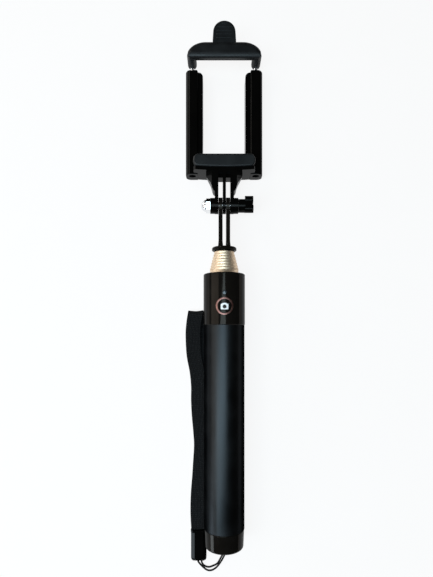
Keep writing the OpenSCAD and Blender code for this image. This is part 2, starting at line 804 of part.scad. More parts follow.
// Where each jaw arm enters the cover
module arm_neck(grow) {
    neck_in = arm_in + arm_neck_wall - grow;
    neck_w = arm_w - arm_neck_wall - 2 * cover_wall + 2 * grow;
    translate([neck_in, jaw_s + cover_wall + fit - grow]) square([neck_w, arm_h - 2 * cover_wall + 2 * grow]);
}

module tab_outline(grow) {
    s0 = jaw_s + jaw_h / 2 - grow;
    half = tab_w / 2 + grow;
    round_box(-half, s0, half, total_len + grow, tab_round + grow);
    translate([-half, s0]) square([2 * half, tab_len / 2]);
}

tab_z = jaw_front - jaw_t / 2 - tab_t / 2;

module jaw_bar() {
    core_z = jaw_back + cover_wall + fit;
    core_t = jaw_t - 2 * cover_wall - 2 * fit;
    color(rubber_grey) difference() {
        union() {
            along_z(core_z, core_z + core_t) jaw_outline(cover_wall + fit);
            along_z(tab_z, tab_z + tab_t) tab_outline(0);
            for (k = [0:rib_count - 1]) along_z(tab_z + tab_t / 2, tab_z + tab_t + rib_rise) intersection() {
                translate([-rib_w / 2, jaw_top + first_rib + k * rib_pitch - rib_h / 2])
                    square([rib_w, rib_h]);
                tab_outline(-rib_margin);
            }
            both_sides() {
                along_y(jaw_s, jaw_s + arm_h)
                    round_box(arm_in, arm_back, jaw_half, jaw_back - fit, arm_neck_wall);
                along_z(jaw_back - 2 * fit, core_z + fit) arm_neck(0);
            }
        }
        both_sides() translate([rod_x, 0, rod_height - axis_z])
            on_pole(jaw_s - eps) cylinder(d = rod_d + fit, h = rod_socket + eps);
    }
}

module jaw_cover() {
    color(rubber_grey) difference() {
        along_z(jaw_back, jaw_front) jaw_outline(0);
        along_z(jaw_back + cover_wall, jaw_front - cover_wall) jaw_outline(cover_wall);
        both_sides() along_z(jaw_back - eps, jaw_back + 2 * cover_wall) arm_neck(fit);
        along_z(tab_z - fit, tab_z + tab_t + fit) tab_outline(fit);
    }
}

// Wrist strap

module on_floor(route) sweep([for (p = route) [p[0], p[1] - mid_s, p[2]]], $up, $outline);

module strap_webbing() {
    color([0.06, 0.06, 0.07]) on_floor(
        webbing_route,
        $up = [1, 0, 0],
        $outline = [
            for (c = [[-1, -1], [1, -1], [1, 1], [-1, 1]]) [c[0] * webbing_w / 2, c[1] * webbing_t / 2]
        ]
    );
}

module strap_clip() {
    clip_round = 2.4;
    color(gloss_black) difference() {
        along_z(0, clip_t)
            translate([clip_x, clip_top_s])
                round_box(-clip_w / 2, -clip_len, clip_w / 2, 0, clip_round);
        along_z(clip_t / 2 - cord_pocket_h / 2 - 0.4, clip_t / 2 + cord_pocket_h / 2 - 0.4)
            translate([clip_x + 0.4 - cord_pocket_w / 2, clip_top_s - clip_len - eps])
            square([cord_pocket_w, cord_pocket_len + eps]);
    }
}

module strap_cord() {
    color([0.05, 0.05, 0.05]) on_floor(cord_route, $up = [0, 0, 1], $outline = round_outline(cord_d, 8));
}

module cord_knot() {
    seat = sqrt(pow(knot_d, 2) - pow(cord_hole, 2)) / 2;
    color([0.05, 0.05, 0.05]) on_pole(cap_floor + seat + fit) sphere(d = knot_d);
}

upper_housing();
handle_tube();
grip_sleeve();
end_cap();
pole_bush();
button_ring();
shutter_button();
button_icon();
led_lens();
led_chip();
circuit_board();
radio_chip();
snap_dome();
battery_cell();
battery_leads();
charge_port();
pole_tube(1);  // tube_1
pole_tube(2);  // tube_2
pole_tube(3);  // tube_3
pole_tube(4);  // tube_4
pole_tube(5);  // tube_5
pole_tube(6);  // tube_6
pole_tube(7);  // tube_7
friction_strips(2);  // friction_strips_2
friction_strips(3);  // friction_strips_3
friction_strips(4);  // friction_strips_4
friction_strips(5);  // friction_strips_5
friction_strips(6);  // friction_strips_6
friction_strips(7);  // friction_strips_7
fork_head();
clamp_frame();
lower_pad();
cap_nut();
hinge_bolt();
clamp_knob();
left_spring();
right_spring();
left_guide_rod();
right_guide_rod();
rod_washers();
jaw_bar();
jaw_cover();
strap_webbing();
strap_clip();
strap_cord();
cord_knot();
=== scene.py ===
import math
import bpy
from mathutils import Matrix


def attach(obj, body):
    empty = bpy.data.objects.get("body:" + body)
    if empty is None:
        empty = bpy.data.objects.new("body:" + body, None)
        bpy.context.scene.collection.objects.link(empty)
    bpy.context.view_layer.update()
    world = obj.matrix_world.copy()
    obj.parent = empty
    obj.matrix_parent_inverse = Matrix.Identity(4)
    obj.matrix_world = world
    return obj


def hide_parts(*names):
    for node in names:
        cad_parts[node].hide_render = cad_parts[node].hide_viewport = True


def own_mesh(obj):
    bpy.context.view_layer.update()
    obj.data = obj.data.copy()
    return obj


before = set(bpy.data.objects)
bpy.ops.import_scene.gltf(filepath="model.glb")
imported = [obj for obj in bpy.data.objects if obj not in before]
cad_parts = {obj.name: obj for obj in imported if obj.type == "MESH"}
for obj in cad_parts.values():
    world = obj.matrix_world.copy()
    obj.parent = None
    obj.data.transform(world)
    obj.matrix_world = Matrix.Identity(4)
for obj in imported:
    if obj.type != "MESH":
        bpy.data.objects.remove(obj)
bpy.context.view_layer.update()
bpy.ops.object.select_all(action="DESELECT")

# Power and electronics inside the handle: a wrapped lithium cell in the end cap's cup, two insulated leads
# beside the pole, the charging socket, and under the button the shutter board with its chip, dome and light.
# They are bought in and dropped into the handle tube, so the CAD solids stay and only get their finishes.
mm = 0.001


def new_finish(name):
    """An empty material: its node tree, its shader and the piece's own coordinates."""
    material = bpy.data.materials.new(name)
    material.use_nodes = True
    tree = material.node_tree
    place = tree.nodes.new("ShaderNodeTexCoord")
    return material, tree, tree.nodes["Principled BSDF"], place.outputs["Object"]


def grains(tree, place, per_metre, detail=3.0, stretch=(1, 1, 1)):
    """A cloudy pattern with so many grains to the metre, drawn out along an axis where stretch is below 1."""
    spread = tree.nodes.new("ShaderNodeMapping")
    spread.inputs["Scale"].default_value = stretch
    noise = tree.nodes.new("ShaderNodeTexNoise")
    noise.inputs["Scale"].default_value = per_metre
    noise.inputs["Detail"].default_value = detail
    tree.links.new(place, spread.inputs["Vector"])
    tree.links.new(spread.outputs["Vector"], noise.inputs["Vector"])
    return noise.outputs["Fac"]


def vary(tree, shader, socket, pattern, low, high, edges=(0.35, 0.65)):
    """Gives a shader's socket two numbers or two colours, shared out over the surface by a pattern."""
    ramp = tree.nodes.new("ShaderNodeValToRGB")
    for stop, edge, value in zip(ramp.color_ramp.elements, edges, (low, high)):
        stop.position = edge
        stop.color = (*value, 1) if isinstance(value, tuple) else (value, value, value, 1)
    tree.links.new(pattern, ramp.inputs["Fac"])
    tree.links.new(ramp.outputs["Color"], shader.inputs[socket])


def relief(tree, shader, pattern, height):
    """Bumps of so many metres where the pattern is high."""
    bump = tree.nodes.new("ShaderNodeBump")
    bump.inputs["Distance"].default_value = height
    tree.links.new(pattern, bump.inputs["Height"])
    tree.links.new(bump.outputs["Normal"], shader.inputs["Normal"])


def moulded(name, light, dark, smooth, rough, grain=4000, height=4e-6, specular=0.5):
    """Moulded plastic or rubber: a slightly cloudy colour and gloss, over a fine grain."""
    material, tree, shader, place = new_finish(name)
    cloud = grains(tree, place, 120, 4)
    vary(tree, shader, "Base Color", cloud, dark, light)
    vary(tree, shader, "Roughness", cloud, smooth, rough)
    relief(tree, shader, grains(tree, place, grain, 2), height)
    shader.inputs["Specular IOR Level"].default_value = specular
    return material


def bright_metal(name, light, dark, smooth, rough, marks=3000, height=1e-6, stretch=(1, 0.1, 1)):
    """Polished or plated metal: an uneven tone and fine marks left by the polishing."""
    material, tree, shader, place = new_finish(name)
    scratches = grains(tree, place, marks, 3, stretch)
    vary(tree, shader, "Base Color", grains(tree, place, 400, 3), dark, light)
    vary(tree, shader, "Roughness", scratches, smooth, rough)
    relief(tree, shader, scratches, height)
    shader.inputs["Metallic"].default_value = 1.0
    return material


def dress(material, *nodes):
    """Gives CAD solids their finish."""
    for node in nodes:
        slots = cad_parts[node].data.materials
        slots.clear()
        slots.append(material)


bright_steel = bright_metal("bright_steel", (0.74, 0.74, 0.76), (0.66, 0.66, 0.69), 0.12, 0.24)
dress(bright_steel, "charge_port", "snap_dome")
dress(moulded("cell_wrap", (0.05, 0.11, 0.3), (0.035, 0.08, 0.24), 0.25, 0.4), "battery_cell")
dress(moulded("lead_insulation", (0.36, 0.02, 0.02), (0.28, 0.015, 0.015), 0.4, 0.55), "battery_leads")
board_green = moulded("board_lacquer", (0.02, 0.13, 0.045), (0.012, 0.08, 0.03), 0.25, 0.45, 1500, 1e-5)
dress(board_green, "circuit_board")
dress(moulded("chip_resin", (0.02, 0.02, 0.022), (0.012, 0.012, 0.013), 0.5, 0.7, 9000, 6e-6), "radio_chip")
dress(moulded("white_chip", (0.85, 0.85, 0.82), (0.78, 0.78, 0.74), 0.35, 0.5), "led_chip")

# Handle tube and pole bush: plain black mouldings that nobody sees, pressed together inside the grip.
# The tube carries the grip and the housing, and the bush holds the foot of the outer pole tube.
plain_black = moulded("plain_black", (0.024, 0.024, 0.025), (0.017, 0.017, 0.018), 0.42, 0.58)
dress(plain_black, "handle_tube", "pole_bush")

# Soft grip: a sleeve with a satin charcoal coating, pushed over the handle tube against the housing.
# It is turned as one profile with eased ends, and the charging socket's window is cut through its back.
pole_height = 13.4
middle = 168.2
grip_radius, grip_bore = 13.1, 11.8
grip_from, grip_to = 12.4, 143.4
socket_at, window_long, window_wide, window_deep = 30.15, 7.6, 2.7, 3


def point(x, station, height):
    """A place in metres, from mm across, along the pole from the end cap and up from the floor."""
    return x * mm, (station - middle) * mm, height * mm


def draw_line(name, places):
    """A new piece made of one line through the places, left in edit mode."""
    bpy.ops.mesh.primitive_plane_add(size=mm)
    piece = bpy.context.object
    piece.name = name
    bpy.ops.object.mode_set(mode="EDIT")
    bpy.ops.mesh.select_mode(type="VERT")
    bpy.ops.mesh.merge(type="CENTER")
    bpy.ops.transform.translate(value=places[0])
    for last, place in zip(places, places[1:]):
        step = [b - a for a, b in zip(last, place)]
        bpy.ops.mesh.extrude_vertices_move(TRANSFORM_OT_translate={"value": step})
    bpy.ops.mesh.select_all(action="SELECT")
    bpy.ops.mesh.remove_doubles(threshold=1e-7)
    return piece


def end_edit():
    """Turns all faces outwards and leaves edit mode."""
    bpy.ops.mesh.select_all(action="SELECT")
    bpy.ops.mesh.normals_make_consistent(inside=False)
    bpy.ops.object.mode_set(mode="OBJECT")


def turn_on_pole(name, profile, steps=128):
    """Turns a profile of (radius, station) in mm about the pole."""
    piece = draw_line(name, [point(r, s, pole_height) for r, s in profile])
    bpy.ops.mesh.spin(steps=steps, angle=2 * math.pi, center=point(0, middle, pole_height), axis=(0, 1, 0))
    bpy.ops.mesh.select_all(action="SELECT")
    bpy.ops.mesh.remove_doubles(threshold=1e-7)
    end_edit()
    return piece


def settle(name):
    """Names the piece just added and leaves its origin at the frame's."""
    piece = bpy.context.object
    piece.name = name
    bpy.ops.object.transform_apply(location=True, rotation=True, scale=True)
    return piece


def block(name, low, high):
    """A box between two corners, each in mm across, along the pole and up."""
    a, b = point(*low), point(*high)
    bpy.ops.mesh.primitive_cube_add(
        size=1, location=[(p + q) / 2 for p, q in zip(a, b)], scale=[q - p for p, q in zip(a, b)]
    )
    return settle(name)


def only(piece):
    """Makes a piece the only selected and active one."""
    bpy.ops.object.select_all(action="DESELECT")
    piece.select_set(True)
    bpy.context.view_layer.objects.active = piece


def combine(piece, other, how):
    """Cuts, joins or crosses a piece with another, which is used up."""
    only(piece)
    step = piece.modifiers.new("combine", "BOOLEAN")
    step.operation = how
    step.solver = "EXACT"
    step.object = other
    bpy.ops.object.modifier_apply(modifier=step.name)
    bpy.data.objects.remove(other, do_unlink=True)


def cut(piece, tool):
    """Takes a tool's shape out of a piece."""
    combine(piece, tool, "DIFFERENCE")


def ease(piece, width, segments=3, sharper_than=40):
    """Rounds the sharp edges by so many mm and smooths the rest."""
    only(piece)
    step = piece.modifiers.new("ease", "BEVEL")
    step.limit_method = "ANGLE"
    step.angle_limit = math.radians(sharper_than)
    step.width = width * mm
    step.segments = segments
    bpy.ops.object.modifier_apply(modifier=step.name)
    bpy.ops.object.shade_smooth_by_angle(angle=math.radians(32))
    even = piece.modifiers.new("even", "WEIGHTED_NORMAL")
    even.keep_sharp = True
    bpy.ops.object.modifier_apply(modifier=even.name)


def fit(piece, body, slot, material, *nodes):
    """Gives a piece its finish and body, in place of its CAD solids."""
    piece.data.materials.clear()
    piece.data.materials.append(material)
    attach(piece, body)
    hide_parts(*nodes)


grip = turn_on_pole(
    "soft_grip",
    [
        *[(grip_bore, grip_from), (grip_radius, grip_from), (grip_radius, grip_to)],
        *[(grip_bore, grip_to), (grip_bore, grip_from)],
    ],
)
window = block(
    "window",
    (-window_wide / 2, socket_at - window_long / 2, -1),
    (window_wide / 2, socket_at + window_long / 2, window_deep),
)
cut(grip, window)
ease(grip, 0.3)
satin, tree, shader, place = new_finish("satin_charcoal")
cloud = grains(tree, place, 60, 5)
vary(tree, shader, "Base Color", cloud, (0.02, 0.0215, 0.023), (0.025, 0.0268, 0.0285))
vary(tree, shader, "Roughness", cloud, 0.32, 0.4)
relief(tree, shader, grains(tree, place, 5000, 2), 6e-6)
shader.inputs["Metallic"].default_value = 1.0
shader.inputs["Specular Tint"].default_value = (0.1, 0.1, 0.1, 1)
fit(grip, "handle", "soft_black", satin, "grip_sleeve")

# End cap: a gloss black moulding that closes the handle, with a plug that holds the cell and a cord hole.
# It is turned in one profile, from the rounded bottom edge up over the plug and back down its inside.


def glossy(name, light, dark):
    """Plastic from a polished mould, whose edges stay dark."""
    material = moulded(name, light, dark, 0.06, 0.13, 700, 1.5e-6)
    shine = material.node_tree.nodes["Principled BSDF"].inputs
    shine["Metallic"].default_value = 0.6
    shine["Specular Tint"].default_value = (0.12, 0.12, 0.12, 1)
    return material


cap_foot, cap_rim, seam_radius, cap_round = 12.5, 12.9, 12.6, 1.6
rim_to, seam_from, cap_to = 11.9, 12.1, 12.35
plug_radius, plug_to, cup_radius, cup_from = 10.5, 24.4, 7.05, 14
cord_hole, knot_room, cap_floor = 1.6, 5, 3
gloss_black = glossy("gloss_black", (0.0155, 0.013, 0.0108), (0.0125, 0.0104, 0.0086))


def arc(centre, radius, start, stop, steps=8):
    """Points of a round corner, the angles in degrees from the first direction."""
    turns = [math.radians(start + (stop - start) * k / steps) for k in range(steps + 1)]
    return [(centre[0] + radius * math.cos(a), centre[1] + radius * math.sin(a)) for a in turns]


cap = turn_on_pole(
    "end_cap_shell",
    [
        (cord_hole, 0),
        *arc((cap_foot - cap_round, cap_round), cap_round, -90, 0),
        *[(cap_rim, rim_to), (seam_radius, seam_from), (seam_radius, cap_to)],
        *[(plug_radius, cap_to), (plug_radius, plug_to), (cup_radius, plug_to), (cup_radius, cup_from)],
        *[(knot_room, cup_from), (knot_room, cap_floor), (cord_hole, cap_floor), (cord_hole, 0)],
    ],
)
ease(cap, 0.15, 2)
fit(cap, "handle", "gloss_black", gloss_black, "end_cap")

# Button housing: a gloss black shell glued to the top of the handle tube, with the pole through its top.
# It is turned, then bored for the button's ring and the status light, and its edges are eased.
housing_radius, housing_bore, pole_mouth = 13.4, 12, 9.25
housing_to, housing_roof, housing_round = 176.2, 173.7, 0.8
button_at, light_at = 155.0, 163.4
ring_radius, light_radius, push_fit = 5.45, 1.2, 0.05
foot_chamfer, cut_from, cut_to = 0.3, 5, 18


def round_bar(name, radius, length, place, turn, sides):
    """A round bar about a place in mm, turned from upright."""
    bpy.ops.mesh.primitive_cylinder_add(
        vertices=sides, radius=radius * mm, depth=length * mm, location=point(*place), rotation=turn
    )
    return settle(name)


def upright_bar(name, radius, station, low, high, sides=96):
    """A round bar standing on the pole's axis, between two heights above it."""
    return round_bar(name, radius, high - low, (0, station, pole_height + (low + high) / 2), (0, 0, 0), sides)


housing = turn_on_pole(
    "button_housing",
    [
        *[(housing_bore, grip_to), (housing_radius - foot_chamfer, grip_to)],
        (housing_radius, grip_to + foot_chamfer),
        *arc((housing_radius - housing_round, housing_to - housing_round), housing_round, 0, 90),
        *[(pole_mouth, housing_to), (pole_mouth, housing_roof), (housing_bore, housing_roof)],
        (housing_bore, grip_to),
    ],
    160,
)
cut(housing, upright_bar("ring_bore", ring_radius + push_fit, button_at, cut_from, cut_to))
cut(housing, upright_bar("light_bore", light_radius + push_fit, light_at, cut_from, cut_to, 48))
ease(housing, 0.12, 2, 50)
fit(housing, "handle", "gloss_black", gloss_black, "upper_housing")

# Ring round the button: a rose-gold anodised aluminium ring pressed into the housing, standing 0.3 mm proud.
# Its top follows the round of the housing.
ring_hole, ring_from, ring_proud = 4.45, 11.4, 0.3
raw_top, trim_from, trim_to = 16, button_at - 10, button_at + 10


def pole_bar(name, radius, low, high, sides=256, x=0, height=pole_height):
    """A round bar along the pole, between two stations."""
    return round_bar(name, radius, high - low, (x, (low + high) / 2, height), (math.pi / 2, 0, 0), sides)


ring = upright_bar("button_trim_ring", ring_radius, button_at, ring_from, raw_top)
cut(ring, upright_bar("ring_hole", ring_hole, button_at, cut_from, cut_to))
combine(ring, pole_bar("housing_round", housing_radius + ring_proud, trim_from, trim_to), "INTERSECT")
ease(ring, 0.2, 3, 30)
rose_gold = bright_metal("rose_gold", (0.26, 0.13, 0.11), (0.2, 0.1, 0.085), 0.28, 0.4, 4000, 1e-6, (1, 1, 1))
fit(ring, "handle", "rose_gold", rose_gold, "button_ring")

# Shutter button: a gloss black key in the ring, whose nub presses the snap dome on the board.
# Its top is part of the housing's round, 0.1 mm proud, with an eased edge.
key_radius, key_from, key_proud = 4.35, 10.9, 0.1
key_flange, key_flange_to = 5.1, 11.3
nub_radius, nub_from, nub_to = 1.2, 10.7, 11


def join(piece, other):
    """Makes another shape part of a piece."""
    combine(piece, other, "UNION")


button = upright_bar("shutter_key", key_radius, button_at, key_from, raw_top)
join(button, upright_bar("key_flange", key_flange, button_at, key_from, key_flange_to))
join(button, upright_bar("key_nub", nub_radius, button_at, nub_from, nub_to))
combine(button, pole_bar("key_round", housing_radius + key_proud, trim_from, trim_to), "INTERSECT")
ease(button, 0.2, 3, 30)
fit(button, "shutter", "gloss_black", gloss_black, "shutter_button")

# Camera sign on the button: white ink, printed 0.12 mm thick, with a round lens left open.
# Its body has eased corners and the usual hump on top.


def plate(name, outline, low, high):
    """A plate cut to an outline of (across, station) in mm, between two heights above the floor."""
    piece = draw_line(name, [point(x, s, low) for x, s in [*outline, outline[0]]])
    bpy.ops.mesh.edge_face_add()
    bpy.ops.mesh.extrude_region_move(TRANSFORM_OT_translate={"value": (0, 0, (high - low) * mm)})
    end_edit()
    return piece


sign_at, sign_half, sign_tall, sign_corner = button_at - 0.4, 2.4, 1.8, 0.5
sign_low, sign_high = pole_height + 12, pole_height + 15
hump_foot, hump_top, hump_tall, lens_radius = 1.4, 1.1, 2.25, 1.2
ink_back, ink_thick = housing_radius + 0.15, 0.12
corner_across, corner_along = sign_half - sign_corner, sign_tall - sign_corner
sign = plate(
    "camera_sign",
    [
        *arc((-corner_across, sign_at - corner_along), sign_corner, 180, 270, 5),
        *arc((corner_across, sign_at - corner_along), sign_corner, 270, 360, 5),
        *arc((corner_across, sign_at + corner_along), sign_corner, 0, 90, 5),
        *[(hump_foot, sign_at + sign_tall), (hump_top, sign_at + hump_tall)],
        *[(-hump_top, sign_at + hump_tall), (-hump_foot, sign_at + sign_tall)],
        *arc((-corner_across, sign_at + corner_along), sign_corner, 90, 180, 5),
    ],
    sign_low,
    sign_high,
)
cut(sign, upright_bar("lens", lens_radius, sign_at, cut_from, cut_to, 48))
combine(sign, pole_bar("ink_face", ink_back + ink_thick, trim_from, trim_to), "INTERSECT")
cut(sign, pole_bar("ink_back", ink_back, trim_from - 1, trim_to + 1))
ease(sign, 0.02, 1, 50)
white_ink = moulded("white_ink", (0.9, 0.9, 0.9), (0.84, 0.84, 0.84), 0.45, 0.6)
fit(sign, "shutter", "white_print", white_ink, "button_icon")

# Status light: a smoked clear pin over the light on the board, pushed into its bore from inside.
# Its end is domed just proud of the housing.
light_from, light_to, light_dome, light_spread = 11.4, 13.38, 0.12, 8
upwards, downwards = (0, 0, 1), (0, 0, -1)


def nothing_picked(piece):
    """Clears the selection of a piece's points, edges and faces."""
    for parts in (piece.data.vertices, piece.data.edges, piece.data.polygons):
        parts.foreach_set("select", [False] * len(parts))


def pick_faces(piece, *ways):
    """Opens a piece in edit mode with the faces selected that look one of the ways."""
    nothing_picked(piece)
    bpy.context.tool_settings.mesh_select_mode = (False, False, True)
    for face in piece.data.polygons:
        face.select = any(face.normal.dot(way) > 0.9 for way in ways)
    only(piece)
    bpy.ops.object.mode_set(mode="EDIT")


def round_end(piece, radius, steps, way, spread=1):
    """Grows the end that looks one way by so many mm over a round edge, which may spread wider than high."""
    pick_faces(piece, way)
    turns = [math.pi / 2 * k / steps for k in range(steps + 1)]
    for a, b in zip(turns, turns[1:]):
        inwards, outwards = math.cos(a) - math.cos(b), math.sin(b) - math.sin(a)
        bpy.ops.mesh.inset(thickness=radius * spread * inwards * mm, depth=radius * outwards * mm)
    bpy.ops.object.mode_set(mode="OBJECT")


light = upright_bar("status_light", light_radius, light_at, light_from, light_to, 48)
round_end(light, light_dome, 5, upwards, light_spread)
ease(light, 0.06, 2, 50)
smoked, tree, shader, place = new_finish("smoked_clear")
cloud = grains(tree, place, 900, 3)
vary(tree, shader, "Base Color", cloud, (0.03, 0.04, 0.05), (0.05, 0.065, 0.08))
vary(tree, shader, "Roughness", cloud, 0.12, 0.18)
relief(tree, shader, cloud, 2e-7)
shader.inputs["Transmission Weight"].default_value = 0.25
shader.inputs["IOR"].default_value = 1.5
fit(light, "handle", "light_lens", smoked, "led_lens")

# Pole: seven champagne-plated stainless tubes that slide in each other, each with its top rolled inwards
# over the next one. A fine groove runs under the lip, and brass strips at the foot grip the tube around it.
tube_count, smallest_tube, tube_step, tube_wall = 7, 6.5, 0.45, 0.25
first_top, first_foot, second_foot, lip_step = 179.9, 41.4, 42.9, 1.8
groove_low, groove_high, groove_deep, groove_slope = 1.6, 1.3, 0.08, 0.1
roll_in, roll_deep, roll_round, roll_ease = 0.4, 1.2, 0.22, 0.05
champagne, tree, shader, place = new_finish("champagne_plate")
rubbed = grains(tree, place, 2200, 3, (0.2, 1, 0.2))
vary(tree, shader, "Base Color", rubbed, (0.66, 0.5, 0.35), (0.84, 0.665, 0.485), (0.34, 0.56))
vary(tree, shader, "Roughness", rubbed, 0.58, 0.46)
relief(tree, shader, rubbed, 3e-6)
shader.inputs["Metallic"].default_value = 1.0
for i in range(1, tube_count + 1):
    outside = smallest_tube + tube_step * (tube_count - i)
    inside = outside - tube_wall
    top = first_top + lip_step * (i - 1)
    foot = first_foot if i == 1 else second_foot + lip_step * (i - 2)
    lip = outside - roll_in if i < tube_count else inside
    groove = outside - groove_deep
    tube = turn_on_pole(
        f"pole_tube_{i}",
        [
            *[(inside, foot), (outside, foot), (outside, top - groove_low)],
            *[(groove, top - groove_low + groove_slope), (groove, top - groove_high - groove_slope)],
            (outside, top - groove_high),
            *arc((outside - roll_round, top - roll_round), roll_round, 0, 90, 4),
            *[(lip, top - roll_ease), (lip, top - roll_deep)],
            *[(inside, top - roll_deep - roll_ease), (inside, foot)],
        ],
        96,
    )
    only(tube)
    bpy.ops.object.shade_smooth_by_angle(angle=math.radians(40))
    fit(tube, "handle" if i == 1 else f"stage_{i}", "champagne", champagne, f"tube_{i}")
spring_brass = bright_metal("spring_brass", (0.7, 0.5, 0.22), (0.6, 0.42, 0.18), 0.2, 0.35)
dress(spring_brass, *[f"friction_strips_{i}" for i in range(2, tube_count + 1)])

# Fork head: a black moulding plugged into the innermost tube, a round flange with two flat prongs.
# The prongs widen into the flange and end in round eyes, bored for the hinge bolt.
hinge_at, eye_radius, bolt_bore, bore_reach = 220.6, 5.2, 2.55, 12
plug_from, plug_in_tube, plug_chamfer = 181.2, 6.2, 0.6
flange_from, flange_to, flange_slope, flange_round = 191.2, 193.6, 0.5, 1
flange_foot, flange_radius = 7.4, 7.95
prong_from, prong_near, prong_far, prong_high = 197, 1.1, 3.7, 4.4
root_long, root_wide, root_high = 3.9, 1.3, 1.06
towards_cap, towards_tab = (0, -1, 0), (0, 1, 0)


def cross_bar(name, radius, station, height, start, stop, sides=64):
    """A round bar across the pole, from one place across to the other."""
    place = ((start + stop) / 2, station, height)
    return round_bar(name, radius, stop - start, place, (0, math.pi / 2, 0), sides)


fork = turn_on_pole(
    "fork",
    [
        *[(0, plug_from), (plug_in_tube - plug_chamfer, plug_from)],
        *[(plug_in_tube, plug_from + plug_chamfer), (plug_in_tube, flange_from)],
        *[(flange_foot, flange_from), (flange_radius, flange_from + flange_slope)],
        *arc((flange_radius - flange_round, flange_to - flange_round), flange_round, 0, 90, 5),
        (0, flange_to),
    ],
    96,
)
for side in (-1, 1):
    near, far = sorted((side * prong_near, side * prong_far))
    low, high = pole_height - prong_high, pole_height + prong_high
    prong = block("prong", (near, prong_from, low), (far, hinge_at, high))
    pick_faces(prong, towards_cap)
    bpy.ops.mesh.extrude_region_move(TRANSFORM_OT_translate={"value": (0, -root_long * mm, 0)})
    root = point((near + far) / 2, prong_from - root_long, pole_height)
    bpy.ops.transform.resize(value=(root_wide, 1, root_high), center_override=root)
    bpy.ops.object.mode_set(mode="OBJECT")
    join(prong, cross_bar("eye", eye_radius, hinge_at, pole_height, near, far, 96))
    join(fork, prong)
cut(fork, cross_bar("bolt_bore", bolt_bore, hinge_at, pole_height, -bore_reach, bore_reach))
ease(fork, 0.3, 3, 25)
fit(fork, "head", "gloss_black", gloss_black, "fork_head")

# Clamp frame: one gloss black moulding, with a rail up each side, the ledge under the phone and the hinge
# knuckle below it. The rails are bored for the springs, and the knuckle's fingers take the fork's prongs.
ledge_at, ledge_half, ledge_thick, ledge_bow = 241.8, 19.8, 2.1, 0.8
ledge_low, ledge_high, ledge_round = 0.02, 18.6, 3
rail_near, rail_far, rail_high, rail_top = 17.2, 25.2, 11.3, 310.6
rail_outer_round, rail_inner_round, tip_round, foot_round = 3.4, 0.9, 1.4, 0.25
lip_near, lip_far, lip_low, lip_high = 13.9, 20, 0.05, 10
lip_from, lip_to, lip_round = ledge_at + 0.6, rail_top - 1.5, 3
spring_bore, rod_bore, rod_out, rod_up, bore_roof = 2.3, 1.25, 20.9, 7.4, 3
leftwards, rightwards = (-1, 0, 0), (1, 0, 0)


def pick_edges(piece, chosen):
    """Opens a piece in edit mode with the edges selected whose two ends, in mm, are chosen."""
    nothing_picked(piece)
    bpy.context.tool_settings.mesh_select_mode = (False, True, False)
    ends = [(v.co.x / mm, v.co.y / mm + middle, v.co.z / mm) for v in piece.data.vertices]
    for edge in piece.data.edges:
        edge.select = chosen(ends[edge.vertices[0]], ends[edge.vertices[1]])
    only(piece)
    bpy.ops.object.mode_set(mode="EDIT")


def round_edges(piece, width, segments, chosen):
    """Rounds the chosen edges by so many mm."""
    pick_edges(piece, chosen)
    bpy.ops.mesh.bevel(offset=width * mm, segments=segments, affect="EDGES")
    bpy.ops.object.mode_set(mode="OBJECT")


def same(a, b, *axes):
    """Whether two places agree on the named axes: 0 across, 1 along the pole, 2 up."""
    return all(abs(a[i] - b[i]) < 1e-3 for i in axes)


def bow(x):
    """How far the ledge's ends stand above its middle, in mm."""
    return ledge_bow * (x / ledge_half) ** 2


def at_side(a, x):
    """Whether a place is so far to the left or the right, in mm."""
    return abs(abs(a[0]) - x) < 1e-3


across = [ledge_half * (k / 12 - 1) for k in range(25)]
ledge_line = [(x, ledge_at + bow(x)) for x in across]
ledge_line += [(x, s + ledge_thick) for x, s in reversed(ledge_line)]
clamp = plate("clamp_moulding", ledge_line, ledge_low, ledge_high)
front, tip = ledge_high / 2, lip_to - 1
round_edges(clamp, ledge_round, 6, lambda a, b: same(a, b, 0, 2) and at_side(a, ledge_half) and a[2] > front)
for side in (-1, 1):
    near, far = sorted((side * rail_near, side * rail_far))
    rail = block("rail", (near, ledge_at + 2 * foot_round, 0), (far, rail_top - tip_round, rail_high))
    round_edges(rail, rail_outer_round, 8, lambda a, b: same(a, b, 0, 2) and at_side(a, rail_far))
    round_edges(rail, rail_inner_round, 4, lambda a, b: same(a, b, 0, 2) and at_side(a, rail_near))
    round_end(rail, tip_round, 4, towards_tab)
    round_end(rail, foot_round, 2, towards_cap)
    near, far = sorted((side * lip_near, side * lip_far))
    lip = block("lip", (near, lip_from, lip_low), (far, lip_to, lip_high))
    round_edges(lip, lip_round, 6, lambda a, b: same(a, b, 0, 1) and at_side(a, lip_near) and a[1] > tip)
    join(rail, lip)
    join(clamp, rail)
knuckle_high, fingers_out, boss_radius, boss_out = 5.15, 6.08, 5, 9
waist_half, waist_swell, waist_high, waist_from, waist_to = 7.9, 12.4, 5.3, 210, 243
finger_gap_near, finger_gap_far, slot_from, slot_to = 1, 3.8, 205, 237.8
recess_to, recess_up, over_all = 241.2, 3, 30
flare = [(11.8, 242.5), (11.8, 240.3), (11.4, 238.6), (9.9, 236.2), (8.7, 234.2), (8.1, 232.4)]
flare += [(7.7, 230.6), (7, 229.2), (6.1, 228.6), (6.1, hinge_at)]
flare += [(-x, s) for x, s in reversed(flare)]
knuckle = plate("knuckle", flare, pole_height - knuckle_high, pole_height + knuckle_high)
waist_line = [(-waist_half, waist_from), (waist_half, waist_from)]
waist_line += [(waist_half, waist_to), (-waist_half, waist_to)]
waist = plate("waist", waist_line, pole_height - waist_high, pole_height + waist_high)
pick_faces(waist, leftwards, rightwards)
bpy.ops.mesh.subdivide(number_cuts=1)
bpy.ops.object.mode_set(mode="OBJECT")
